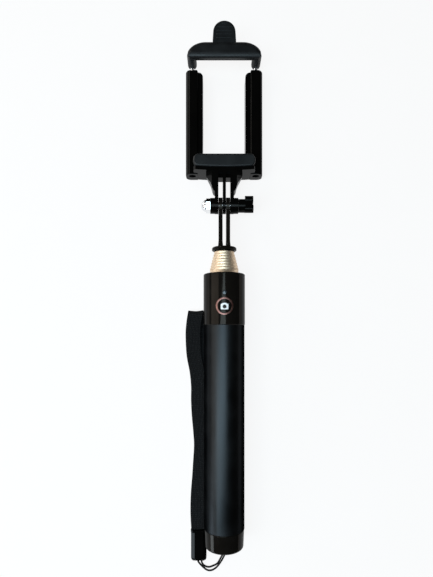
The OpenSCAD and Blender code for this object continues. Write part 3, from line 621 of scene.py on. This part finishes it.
for corner in waist.data.vertices:
    if abs(corner.co.z / mm - pole_height) < 0.1:
        corner.co.x = math.copysign(waist_swell * mm, corner.co.x)
combine(knuckle, waist, "INTERSECT")
for radius, out in ((eye_radius, fingers_out), (boss_radius, boss_out)):
    join(knuckle, cross_bar("eyes", radius, hinge_at, pole_height, -out, out, 96))
for side in (-1, 1):
    near, far = sorted((side * finger_gap_near, side * finger_gap_far))
    cut(knuckle, block("slot", (near, slot_from, 0), (far, slot_to, over_all)))
    recess = block("recess", (near, slot_to - 0.1, pole_height + recess_up), (far, recess_to, over_all))
    cut(knuckle, recess)
join(clamp, knuckle)
cut(clamp, cross_bar("bolt_bore", bolt_bore, hinge_at, pole_height, -bore_reach, bore_reach))
for side in (-1, 1):
    for radius, stop in ((spring_bore, rail_top - bore_roof), (rod_bore, rail_top + 2)):
        cut(clamp, pole_bar("rail_bore", radius, ledge_at - 2, stop, 48, side * rod_out, rod_up))
ease(clamp, 0.3, 2, 45)
# Painted shade: a darker copy of the gloss black for the clamp frame, the knob and the strap clip. These are
# the same gloss black plastic as the housing, made darker to stand for the darker surroundings they reflect.
gloss_black_painted_shade = glossy("gloss_black_painted_shade", (0.005, 0.0046, 0.0042), (0.004, 0.0037, 0.0034))
fit(clamp, "clamp", "gloss_black", gloss_black_painted_shade, "clamp_frame")

# Ledge pad: a charcoal rubber block glued to the ledge, where the phone's lower edge rests.
# It is cut to an outline with round ends and the ledge's bow, and its front is moulded with a soft edge.
pad_light, pad_dark = (0.0046, 0.0056, 0.0064), (0.0031, 0.0038, 0.0045)
charcoal = moulded("charcoal_rubber", pad_light, pad_dark, 0.42, 0.52, 2600, 2e-5, 0.3)
pad_from, pad_to, pad_half, pad_round = 243.95, 252.4, 16.4, 3.4
pad_back, pad_front, pad_side, pad_edge = 11.65, 18.4, pad_from + 4, 1
pad = plate(
    "ledge_pad",
    [
        *[(x, pad_from + bow(x)) for x in across if abs(x) < pad_half + 0.2],
        *arc((pad_half, pad_side), pad_round, -70, 0, 6),
        *arc((pad_half, pad_to - pad_round), pad_round, 0, 90, 6),
        *arc((-pad_half, pad_to - pad_round), pad_round, 90, 180, 6),
        *arc((-pad_half, pad_side), pad_round, 180, 250, 6),
    ],
    pad_back,
    pad_front,
)
round_end(pad, pad_edge, 4, upwards)
ease(pad, 0.2, 2)
fit(pad, "clamp", "rubber_grey", charcoal, "lower_pad")

# Hinge: an M5 bolt with a domed chrome nut on the left and a three-lobed black knob on the right.
# The nut is a hexagon with a ball end, and the knob's lobes are moulded on a round hub.
nut_radius, nut_out, nut_end, nut_turn = 4.62, 9.05, 11.6, -13
dome_radius, dome_out = 4, 11.05
nut = cross_bar("domed_nut", nut_radius, hinge_at, pole_height, -nut_end, -nut_out, 6)
only(nut)
bpy.ops.object.mode_set(mode="EDIT")
bpy.ops.mesh.select_all(action="SELECT")
bpy.ops.transform.rotate(
    value=math.radians(nut_turn), orient_axis="X", center_override=point(0, hinge_at, pole_height)
)
bpy.ops.object.mode_set(mode="OBJECT")
bpy.ops.mesh.primitive_uv_sphere_add(
    segments=64, ring_count=32, radius=dome_radius * mm, location=point(-dome_out, hinge_at, pole_height)
)
dome = settle("dome")
cut(dome, block("inner_half", (-nut_out - 0.01, hinge_at - 10, 0), (0, hinge_at + 10, over_all)))
join(nut, dome)
cut(nut, cross_bar("thread", bolt_bore, hinge_at, pole_height, -bore_reach, -boss_out))
ease(nut, 0.25, 3)
chrome = bright_metal("chrome", (0.86, 0.87, 0.88), (0.8, 0.81, 0.83), 0.07, 0.16, 2500, 8e-7, (1, 1, 1))
fit(nut, "clamp", "steel", chrome, "cap_nut")
dress(bright_steel, "hinge_bolt")

hub_radius, hub_from, hub_to = 4.3, 9.1, 18.3
lobe_radius, lobe_away, lobe_from, lobe_to = 2.6, 3.6, 13.3, 18.6
seat_radius, seat_to = 2.53, 16.1
knob = cross_bar("tilt_knob", hub_radius, hinge_at, pole_height, hub_from, hub_to)
for turn in (105, 225, 345):
    along, down = lobe_away * math.sin(math.radians(turn)), lobe_away * math.cos(math.radians(turn))
    join(knob, cross_bar("lobe", lobe_radius, hinge_at + along, pole_height - down, lobe_from, lobe_to, 32))
cut(knob, cross_bar("bolt_seat", seat_radius, hinge_at, pole_height, hub_from - 1, seat_to))
ease(knob, 0.45, 3, 35)
# The knob gets the darker copy of the gloss black, which is painted shade.
fit(knob, "knob", "gloss_black", gloss_black_painted_shade, "clamp_knob")

# Guide rods and washers: bright steel inside the rails. The rods hang from the jaw, and the springs push
# their washers down, so that the jaw is pulled towards the ledge. They stay the CAD's own solids.
dress(bright_steel, "left_guide_rod", "right_guide_rod", "rod_washers")

# Jaw springs: a coil of bright steel wire round each rod, from its washer up to the top of the rail's bore.
# Each is wound in 14 turns. The real spring shortens by half as the jaw is drawn out; this coil keeps its
# rest length.
spring_from, spring_to, spring_turns = 251.4, 307.55, 14
spring_radius, wire_radius = 1.75, 0.25
wire_sides = 10
bpy.ops.mesh.primitive_circle_add(
    vertices=wire_sides, radius=wire_radius * mm, location=(spring_radius * mm, 0, 0)
)
wound = settle("wire")
coil = wound.modifiers.new("coil", "SCREW")
coil.axis = "Y"
coil.iterations = spring_turns
coil.screw_offset = (spring_to - spring_from - 2 * wire_radius) / spring_turns * mm
coil.steps = coil.render_steps = 24
bpy.ops.object.modifier_apply(modifier=coil.name)
bpy.ops.object.mode_set(mode="EDIT")
bpy.ops.mesh.select_all(action="SELECT")
bpy.ops.mesh.fill_holes(sides=wire_sides)
end_edit()
bpy.ops.object.shade_smooth_by_angle(angle=math.radians(50))
for side, name in ((-1, "left"), (1, "right")):
    only(wound)
    bpy.ops.object.duplicate()
    spring = bpy.context.object
    spring.name = f"{name}_jaw_spring"
    spring.location = point(side * rod_out, spring_from + wire_radius, rod_up)
    bpy.ops.object.transform_apply(location=True, rotation=True, scale=True)
    fit(spring, "clamp", "steel", bright_steel, f"{name}_spring")
    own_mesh(spring)
bpy.data.objects.remove(wound, do_unlink=True)

# Jaw: a black moulded core with an arm over each rail and a finger tab on top, crossed by low ribs.
# The arms end in round tips over the rods, and the tab has a round end and eased edges.
jaw_from, jaw_to, jaw_half = 313.0, 323.1, 23.9
end_long, end_tall, side_tall = 12, 9, 3.6
core_inset, core_back, core_front = 1.25, 17.25, 19.15
tab_from, tab_shoulder, tab_to = 318.1, 324, 336.4
tab_half, tab_flat, tab_round = 7.45, 0.1, 7
tab_back, tab_front, tab_edge = 16.7, 19.2, 0.5


def jaw_outline(inset):
    """The jaw's front, (across, station) in mm, flat below and with long round ends above."""
    half, long, tall = jaw_half - inset, end_long - inset, end_tall - inset
    centre = jaw_to - inset - tall
    turns = [math.pi / 2 * k / 14 for k in range(15)]
    right = [(half - long + long * math.cos(a), centre + tall * math.sin(a)) for a in turns]
    half_line = [(half, jaw_from + inset)] + [(x, s) for x, s in right if s > jaw_from + inset + side_tall]
    return half_line + [(-x, s) for x, s in reversed(half_line)]


jaw = plate("jaw_core", jaw_outline(core_inset), core_back, core_front)
tab_line = [
    *arc((tab_flat, tab_to - tab_round), tab_round, 0, 90, 14),
    *arc((-tab_flat, tab_to - tab_round), tab_round, 90, 180, 14),
    *[(-tab_half, tab_shoulder), (-tab_half, tab_from), (tab_half, tab_from), (tab_half, tab_shoulder)],
]
tab = plate("tab", tab_line, tab_back, tab_front)
round_end(tab, tab_edge, 3, upwards)
join(jaw, tab)
rib_count, rib_from, rib_step, rib_half = 5, jaw_to + 2.6, 2.25, 0.45
rib_back, rib_front, rib_reach, rib_round, rib_margin = 19, 19.9, 5.15, 0.3, 1
for k in range(rib_count):
    at = rib_from + rib_step * k
    above = max(0, at + rib_half - (tab_to - tab_round))
    reach = min(rib_reach, math.sqrt((tab_round - rib_margin) ** 2 - above ** 2))
    rib = block("rib", (-reach, at - rib_half, rib_back), (reach, at + rib_half, rib_front))
    round_edges(rib, rib_round, 3, lambda a, b: min(a[2], b[2]) > rib_front - 0.1)
    join(jaw, rib)
arm_near, arm_tall, arm_back, arm_front = 18, 6.2, 6.8, 15.95
arm_round, arm_tip = 2.85, 2.4
neck_near, neck_far, neck_back, neck_front = 19.4, 21.5, 15, 17.6
neck_low, neck_high = jaw_from + 1.25, jaw_from + 5.05
socket_radius, socket_to = 1.23, jaw_from + 5
for side in (-1, 1):
    near, far = sorted((side * arm_near, side * jaw_half))
    arm = block("arm", (near, jaw_from, arm_back), (far, jaw_from + arm_tall, arm_front))
    round_edges(arm, arm_round, 8, lambda a, b: same(a, b, 0, 1))
    round_end(arm, arm_tip, 5, downwards)
    near, far = sorted((side * neck_near, side * neck_far))
    join(arm, block("neck", (near, neck_low, neck_back), (far, neck_high, neck_front)))
    cut(arm, pole_bar("rod_socket", socket_radius, jaw_from - 2, socket_to, 32, side * rod_out, rod_up))
    join(jaw, arm)
ease(jaw, 0.15, 2, 50)
jaw_light, jaw_dark = (0.0075, 0.0086, 0.0096), (0.005, 0.006, 0.0068)
matt_black = moulded("matt_black", jaw_light, jaw_dark, 0.45, 0.58, 3000, 1.2e-5, 0.2)
fit(jaw, "jaw", "inner_black", matt_black, "jaw_bar")

# Jaw cover: a charcoal rubber sleeve over the jaw's front bar, open where the arms and the tab come out.
# Its corners are round, and the soft ridge along its lower edge presses on the phone.
cover_back, cover_front, cover_edge, sleeve_fit = 16.5, 18.6, 0.5, 0.05
swell, swell_spread = 1.8, 1.8
corner_round, corner_out, corner_low = 2.4, jaw_half - 0.05, jaw_from + 0.02
cover = plate("jaw_sleeve", jaw_outline(0), cover_back, cover_front)
round_end(cover, swell, 7, upwards, swell_spread)
round_end(cover, cover_edge, 2, downwards)
corner_line = arc((corner_out - corner_round, corner_low + corner_round), corner_round, -90, 0)
corner_line += [(corner_out, tab_to)]
corner_line += [(-x, s) for x, s in reversed(corner_line)]
combine(cover, plate("corners", corner_line, cover_back - 5, cover_front + 5), "INTERSECT")
core_line = jaw_outline(core_inset - sleeve_fit)
cut(cover, plate("core_room", core_line, core_back - sleeve_fit, core_front + sleeve_fit))
tab_side = tab_half + sleeve_fit
tab_room = block(
    "tab_room",
    (-tab_side, tab_from - 2 * sleeve_fit, tab_back - sleeve_fit),
    (tab_side, tab_shoulder + 1, tab_front + tab_edge + sleeve_fit),
)
cut(cover, tab_room)
for side in (-1, 1):
    near, far = sorted((side * (neck_near - sleeve_fit), side * (neck_far + sleeve_fit)))
    low, high = neck_low - sleeve_fit, neck_high + sleeve_fit
    cut(cover, block("neck_room", (near, low, neck_back), (far, high, neck_front + 0.4)))
ease(cover, 0.12, 2, 50)
fit(cover, "jaw", "rubber_grey", charcoal, "jaw_cover")

# Strap clip: a small gloss black moulding that joins the webbing to the cord, with a collar round its mouth.
# Its front has sloping sides and round lower corners, and a pocket from below holds the bend of the cord.
clip_x, clip_from, clip_to, clip_half = -16.9, -14.4, 6.6, 5.2
clip_low, clip_side, clip_round = 0.2, 3.2, 2.3
slope_high, slope_wide, slope_long = 2, 0.53, 0.95
collar_half, collar_high, collar_long, collar_round = 5.4, 5.4, 1.5, 2.4
pocket_left, pocket_right, pocket_long = -20.3, -12.7, 10.2
pocket_low, pocket_high = 1.2, 3.4
clip = block(
    "strap_clip_shell",
    (clip_x - clip_half, clip_from, clip_low),
    (clip_x + clip_half, clip_to - collar_long + 0.2, clip_side),
)
round_edges(clip, clip_round, 6, lambda a, b: same(a, b, 0, 1) and a[1] < 0)
pick_faces(clip, upwards)
bpy.ops.mesh.extrude_region_move(TRANSFORM_OT_translate={"value": (0, 0, slope_high * mm)})
bpy.ops.transform.resize(
    value=(slope_wide, slope_long, 1), center_override=point(clip_x, clip_to, clip_side + slope_high)
)
bpy.ops.object.mode_set(mode="OBJECT")
collar = block(
    "collar", (clip_x - collar_half, clip_to - collar_long, 0), (clip_x + collar_half, clip_to, collar_high)
)
round_edges(collar, collar_round, 6, lambda a, b: same(a, b, 0, 2))
join(clip, collar)
pocket = block(
    "cord_pocket",
    (pocket_left, clip_from - 2, pocket_low),
    (pocket_right, clip_from + pocket_long, pocket_high),
)
cut(clip, pocket)
ease(clip, 0.3, 3, 30)
# The clip gets the darker copy of the gloss black, which is painted shade.
fit(clip, "handle", "gloss_black", gloss_black_painted_shade, "strap_clip")

# Wrist strap: one length of black woven webbing, 10 mm wide, folded in two with both ends in the clip.
# It lies on the table beside the handle, its upper layer leaning off the lower one near the fold.
webbing_line = [
    *[(-16.9, 6.6, 2), (-17.2, 14, 0.8), (-17.2, 26, 0.6), (-16.5, 40, 0.6), (-15.6, 54, 0.6)],
    *[(-15.2, 66, 0.6), (-15.4, 80, 0.6), (-15.6, 94, 0.6), (-15.6, 108, 0.6), (-16.2, 122, 0.6)],
    *[(-17.2, 136, 0.6), (-17.8, 145, 0.7), (-18.2, 150, 1.1), (-18.5, 152, 1.9), (-18.8, 152.6, 2.8)],
    *[(-19.1, 152, 3.8), (-19.4, 150, 4.4), (-20.2, 145, 4), (-20.8, 137, 2.9), (-20.2, 124, 2)],
    *[(-18.2, 113, 1.8), (-17.2, 103, 1.8), (-17.2, 93, 1.8), (-16.7, 83, 1.8), (-15.8, 73, 1.8)],
    *[(-15.2, 63, 1.8), (-15.8, 52, 1.8), (-16.5, 41, 1.8), (-17.3, 31, 1.8), (-17.6, 21, 1.9)],
    *[(-17.4, 13, 2.2), (-16.9, 6.6, 3.3)],
]


def smooth_line(places, steps):
    """A curve through the places, with so many steps between two of them."""
    line = []
    for k in range(len(places) - 1):
        a, b, c, d = (places[min(max(k + j, 0), len(places) - 1)] for j in (-1, 0, 1, 2))
        for step in range(steps):
            t = step / steps
            line.append(tuple(
                q + 0.5 * t * (r - p + t * (2 * p - 5 * q + 4 * r - w + t * (3 * q - p - 3 * r + w)))
                for p, q, r, w in zip(a, b, c, d)
            ))
    return line + [tuple(places[-1])]


def unit(a):
    """A direction of length 1."""
    length = math.hypot(*a)
    return [p / length for p in a]


strap_line = smooth_line(webbing_line, 8)
columns, webbing_wide, webbing_thick = 11, 9.9, 0.9
corners, faces, along, run = [], [], [], 0.0
for k, here in enumerate(strap_line):
    ahead, behind = strap_line[min(k + 1, len(strap_line) - 1)], strap_line[max(k - 1, 0)]
    heading = unit([p - q for p, q in zip(ahead, behind)])
    sideways = unit([1 - heading[0] ** 2, -heading[0] * heading[1], -heading[0] * heading[2]])
    run += math.dist(here, strap_line[k - 1]) if k else 0
    along.append(run)
    for j in range(columns):
        offset = (j / (columns - 1) - 0.5) * webbing_wide
        corners.append(point(*[p + offset * q for p, q in zip(here, sideways)]))
for k in range(len(strap_line) - 1):
    for j in range(columns - 1):
        first = k * columns + j
        faces.append((first, first + 1, first + columns + 1, first + columns))
ribbon = bpy.data.meshes.new("wrist_webbing")
ribbon.from_pydata(corners, [], faces)
weave_map = ribbon.uv_layers.new(name="weave")
for loop in ribbon.loops:
    row, column = divmod(loop.vertex_index, columns)
    weave_map.data[loop.index].uv = (column / (columns - 1) * webbing_wide * mm, along[row] * mm)
webbing = bpy.data.objects.new("wrist_webbing", ribbon)
bpy.context.scene.collection.objects.link(webbing)
only(webbing)
thick = webbing.modifiers.new("thickness", "SOLIDIFY")
thick.thickness = webbing_thick * mm
thick.offset = 0
bpy.ops.object.modifier_apply(modifier=thick.name)
soft = webbing.modifiers.new("selvedge", "BEVEL")
soft.limit_method = "ANGLE"
soft.angle_limit = math.radians(60)
soft.width = 0.25 * mm
soft.segments = 2
bpy.ops.object.modifier_apply(modifier=soft.name)
bpy.ops.object.shade_smooth_by_angle(angle=math.radians(50))

woven, tree, shader, place = new_finish("black_webbing")
cloth = tree.nodes.new("ShaderNodeUVMap")
cloth.uv_map = "weave"
ribs = tree.nodes.new("ShaderNodeTexWave")
ribs.bands_direction = "X"
ribs.inputs["Scale"].default_value = 320
ribs.inputs["Distortion"].default_value = 0.6
ribs.inputs["Detail"].default_value = 1
picks = tree.nodes.new("ShaderNodeTexWave")
picks.bands_direction = "Y"
picks.inputs["Scale"].default_value = 240
picks.inputs["Distortion"].default_value = 2.5
picks.inputs["Detail Scale"].default_value = 3
weave = tree.nodes.new("ShaderNodeMath")
weave.operation = "MULTIPLY"
tree.links.new(cloth.outputs["UV"], ribs.inputs["Vector"])
tree.links.new(cloth.outputs["UV"], picks.inputs["Vector"])
tree.links.new(ribs.outputs["Fac"], weave.inputs[0])
tree.links.new(picks.outputs["Fac"], weave.inputs[1])
threads = weave.outputs[0]
vary(tree, shader, "Base Color", threads, (0.0006, 0.0006, 0.0008), (0.0052, 0.0057, 0.0064), (0.1, 0.85))
vary(tree, shader, "Roughness", threads, 0.85, 0.6)
relief(tree, shader, threads, 2.5e-4)
shader.inputs["Specular IOR Level"].default_value = 0.2
fit(webbing, "handle", "webbing_black", woven, "strap_webbing")

# Strap cord: thin black braided cord, tied inside the end cap, that runs out to the clip and back.
# Both strands drop from the cap's hole to the table and curve across to the clip.
cord_line = [
    *[(0.65, 5, 13.4), (0.65, 2, 13.4), (0.65, -1, 13.4), (0.7, -4, 12.4), (0.4, -6.5, 10.4)],
    *[(0, -8.8, 7.8), (-0.4, -11, 5.2), (-1.1, -13.5, 3), (-2.2, -16, 1.6), (-3.8, -18.6, 0.9)],
    *[(-6, -20.8, 0.8), (-8.6, -22.08, 0.8), (-11.2, -21.9, 0.8), (-13.6, -20.2, 0.9)],
    *[(-15.6, -18, 1.3), (-17.2, -15.6, 2), (-17.9, -13, 2.3), (-18.7, -10.8, 2.3)],
    *[(-19.1, -8.7, 2.3), (-18.5, -6.7, 2.3), (-16.5, -5.7, 2.3), (-14.5, -6.7, 2.3), (-13.9, -8.7, 2.3)],
    *[(-14.3, -10.8, 2.3), (-15.1, -13, 2.3), (-15, -15.4, 2), (-14.4, -17.4, 1.3), (-12.6, -19.2, 0.9)],
    *[(-10, -19.8, 0.8), (-7.4, -19, 0.8), (-4.7, -17.6, 0.9), (-3.2, -15.2, 1.6)],
    *[(-2.3, -12.8, 3), (-1.6, -10.4, 5.2), (-1.2, -8.2, 7.8), (-0.8, -6, 10.4)],
    *[(-0.5, -3.7, 12.4), (-0.65, -1, 13.4), (-0.65, 2, 13.4), (-0.65, 5, 13.4)],
]
braid, tree, shader, place = new_finish("black_braid")
strands = tree.nodes.new("ShaderNodeTexWave")
strands.bands_direction = "DIAGONAL"
strands.inputs["Scale"].default_value = 700
strands.inputs["Distortion"].default_value = 1.5
tree.links.new(place, strands.inputs["Vector"])
vary(tree, shader, "Base Color", strands.outputs["Fac"], (0.002, 0.002, 0.002), (0.006, 0.006, 0.006))
vary(tree, shader, "Roughness", strands.outputs["Fac"], 0.7, 0.55)
relief(tree, shader, strands.outputs["Fac"], 6e-5)
shader.inputs["Specular IOR Level"].default_value = 0.15


def cord_curve(name, places, radius, closed=False):
    """A round cord along one smooth line through the places."""
    line = bpy.data.curves.new(name, "CURVE")
    line.dimensions = "3D"
    line.resolution_u = 6
    line.bevel_depth = radius * mm
    line.bevel_resolution = 4
    line.use_fill_caps = not closed
    run = line.splines.new("BEZIER")
    run.bezier_points.add(len(places) - 1)
    run.use_cyclic_u = closed
    for knot, place in zip(run.bezier_points, places):
        knot.co = point(*place)
        knot.handle_left_type = knot.handle_right_type = "AUTO"
    piece = bpy.data.objects.new(name, line)
    bpy.context.scene.collection.objects.link(piece)
    return piece


cord_radius = 0.6
cord = cord_curve("wrist_cord", cord_line, cord_radius)
fit(cord, "handle", "cord_black", braid, "strap_cord")

# Cord knot: both ends of the cord tied in a tight overhand knot behind the cap's hole, too big for the hole.
# It is the same cord, wound as a closed trefoil.
knot_at, knot_radius, knot_swing, knot_depth = 4.85, 1.05, 0.55, 0.75
turns = [2 * math.pi * k / 36 for k in range(36)]
knot = cord_curve(
    "cap_knot",
    [
        (
            (knot_radius + knot_swing * math.cos(3 * a)) * math.cos(2 * a),
            knot_at + knot_depth * math.sin(3 * a),
            pole_height + (knot_radius + knot_swing * math.cos(3 * a)) * math.sin(2 * a),
        )
        for a in turns
    ],
    cord_radius,
    True,
)
only(knot)
bpy.ops.object.convert(target="MESH")
fit(knot, "handle", "cord_black", braid, "cord_knot")

# Table, light and camera: the stick lies on a white table under five large soft lamps, and is seen from
# straight above the grip, close enough that its near end looks larger.
bpy.ops.mesh.primitive_plane_add(size=40, location=(0, 0, -0.0002))
table = bpy.context.object
table.name = "table"
whiteness = 0.88
white_table, tree, shader, place = new_finish("white_table")
vary(tree, shader, "Base Color", grains(tree, place, 40, 3), (0.85, 0.85, 0.85), (0.87, 0.87, 0.87))
shader.inputs["Roughness"].default_value = 0.8
glow = tree.nodes.new("ShaderNodeEmission")
rays = tree.nodes.new("ShaderNodeLightPath")
seen = rays.outputs["Is Camera Ray"]
for kind in ("Is Glossy Ray", "Is Transmission Ray"):
    either = tree.nodes.new("ShaderNodeMath")
    either.operation = "MAXIMUM"
    tree.links.new(seen, either.inputs[0])
    tree.links.new(rays.outputs[kind], either.inputs[1])
    seen = either.outputs[0]
share = tree.nodes.new("ShaderNodeMath")
share.operation = "MULTIPLY"
share.inputs[1].default_value = whiteness
blend = tree.nodes.new("ShaderNodeMixShader")
tree.links.new(seen, share.inputs[0])
tree.links.new(share.outputs[0], blend.inputs["Fac"])
tree.links.new(shader.outputs["BSDF"], blend.inputs[1])
tree.links.new(glow.outputs["Emission"], blend.inputs[2])
tree.links.new(blend.outputs["Shader"], tree.nodes["Material Output"].inputs["Surface"])
table.data.materials.append(white_table)


def soft_lamp(name, place, tilt, turn, size, power, colour):
    """A rectangular soft lamp facing down, tilted to the right and then turned, by so many degrees."""
    lamp = bpy.data.lights.new(name, "AREA")
    lamp.shape = "RECTANGLE"
    lamp.size, lamp.size_y = size
    lamp.energy = power
    lamp.color = colour
    holder = bpy.data.objects.new(name, lamp)
    bpy.context.scene.collection.objects.link(holder)
    holder.location = place
    holder.rotation_euler = (0, math.radians(-tilt), math.radians(turn))


soft_lamp("left_lamp", (-0.66, -0.17, 0.5), 55, 0, (0.66, 0.6), 2.3, (1, 0.96, 0.9))
soft_lamp("top_lamp", (-0.325, -0.228, 0.8), 0, 26, (0.95, 0.4), 6.8, (0.76, 1, 1.14))
soft_lamp("near_low_lamp", (-0.7, -0.62, 0.18), 80, 0, (0.26, 0.32), 1.8, (0.84, 1, 1.12))
soft_lamp("far_low_lamp", (-0.7, 0.46, 0.18), 80, 0, (0.26, 0.36), 1.3, (1, 0.98, 0.92))
soft_lamp("far_lamp", (-0.62, 0.62, 0.76), 45, 0, (0.22, 0.5), 1.8, (1, 0.95, 0.88))
sky = bpy.data.worlds.new("studio")
bpy.context.scene.world = sky
sky.use_nodes = True
air = sky.node_tree
dim = air.nodes["Background"]
dim.inputs["Color"].default_value = (1, 0.92, 0.84, 1)
dim.inputs["Strength"].default_value = 0.06
white = air.nodes.new("ShaderNodeBackground")
white.inputs["Color"].default_value = (1, 1, 1, 1)
white.inputs["Strength"].default_value = whiteness
looks = air.nodes.new("ShaderNodeLightPath")
backdrop = air.nodes.new("ShaderNodeMixShader")
air.links.new(looks.outputs["Is Camera Ray"], backdrop.inputs["Fac"])
air.links.new(dim.outputs["Background"], backdrop.inputs[1])
air.links.new(white.outputs["Background"], backdrop.inputs[2])
air.links.new(backdrop.outputs["Shader"], air.nodes["World Output"].inputs["Surface"])

view = bpy.data.cameras.new("camera")
view.lens = 27.45
view.shift_y = 0.0806
camera = bpy.data.objects.new("camera", view)
bpy.context.scene.collection.objects.link(camera)
camera.location = (-0.005, -0.0312, 0.2984)
bpy.context.scene.camera = camera
bpy.context.scene.view_settings.view_transform = "Standard"

bpy.ops.object.select_all(action="DESELECT")
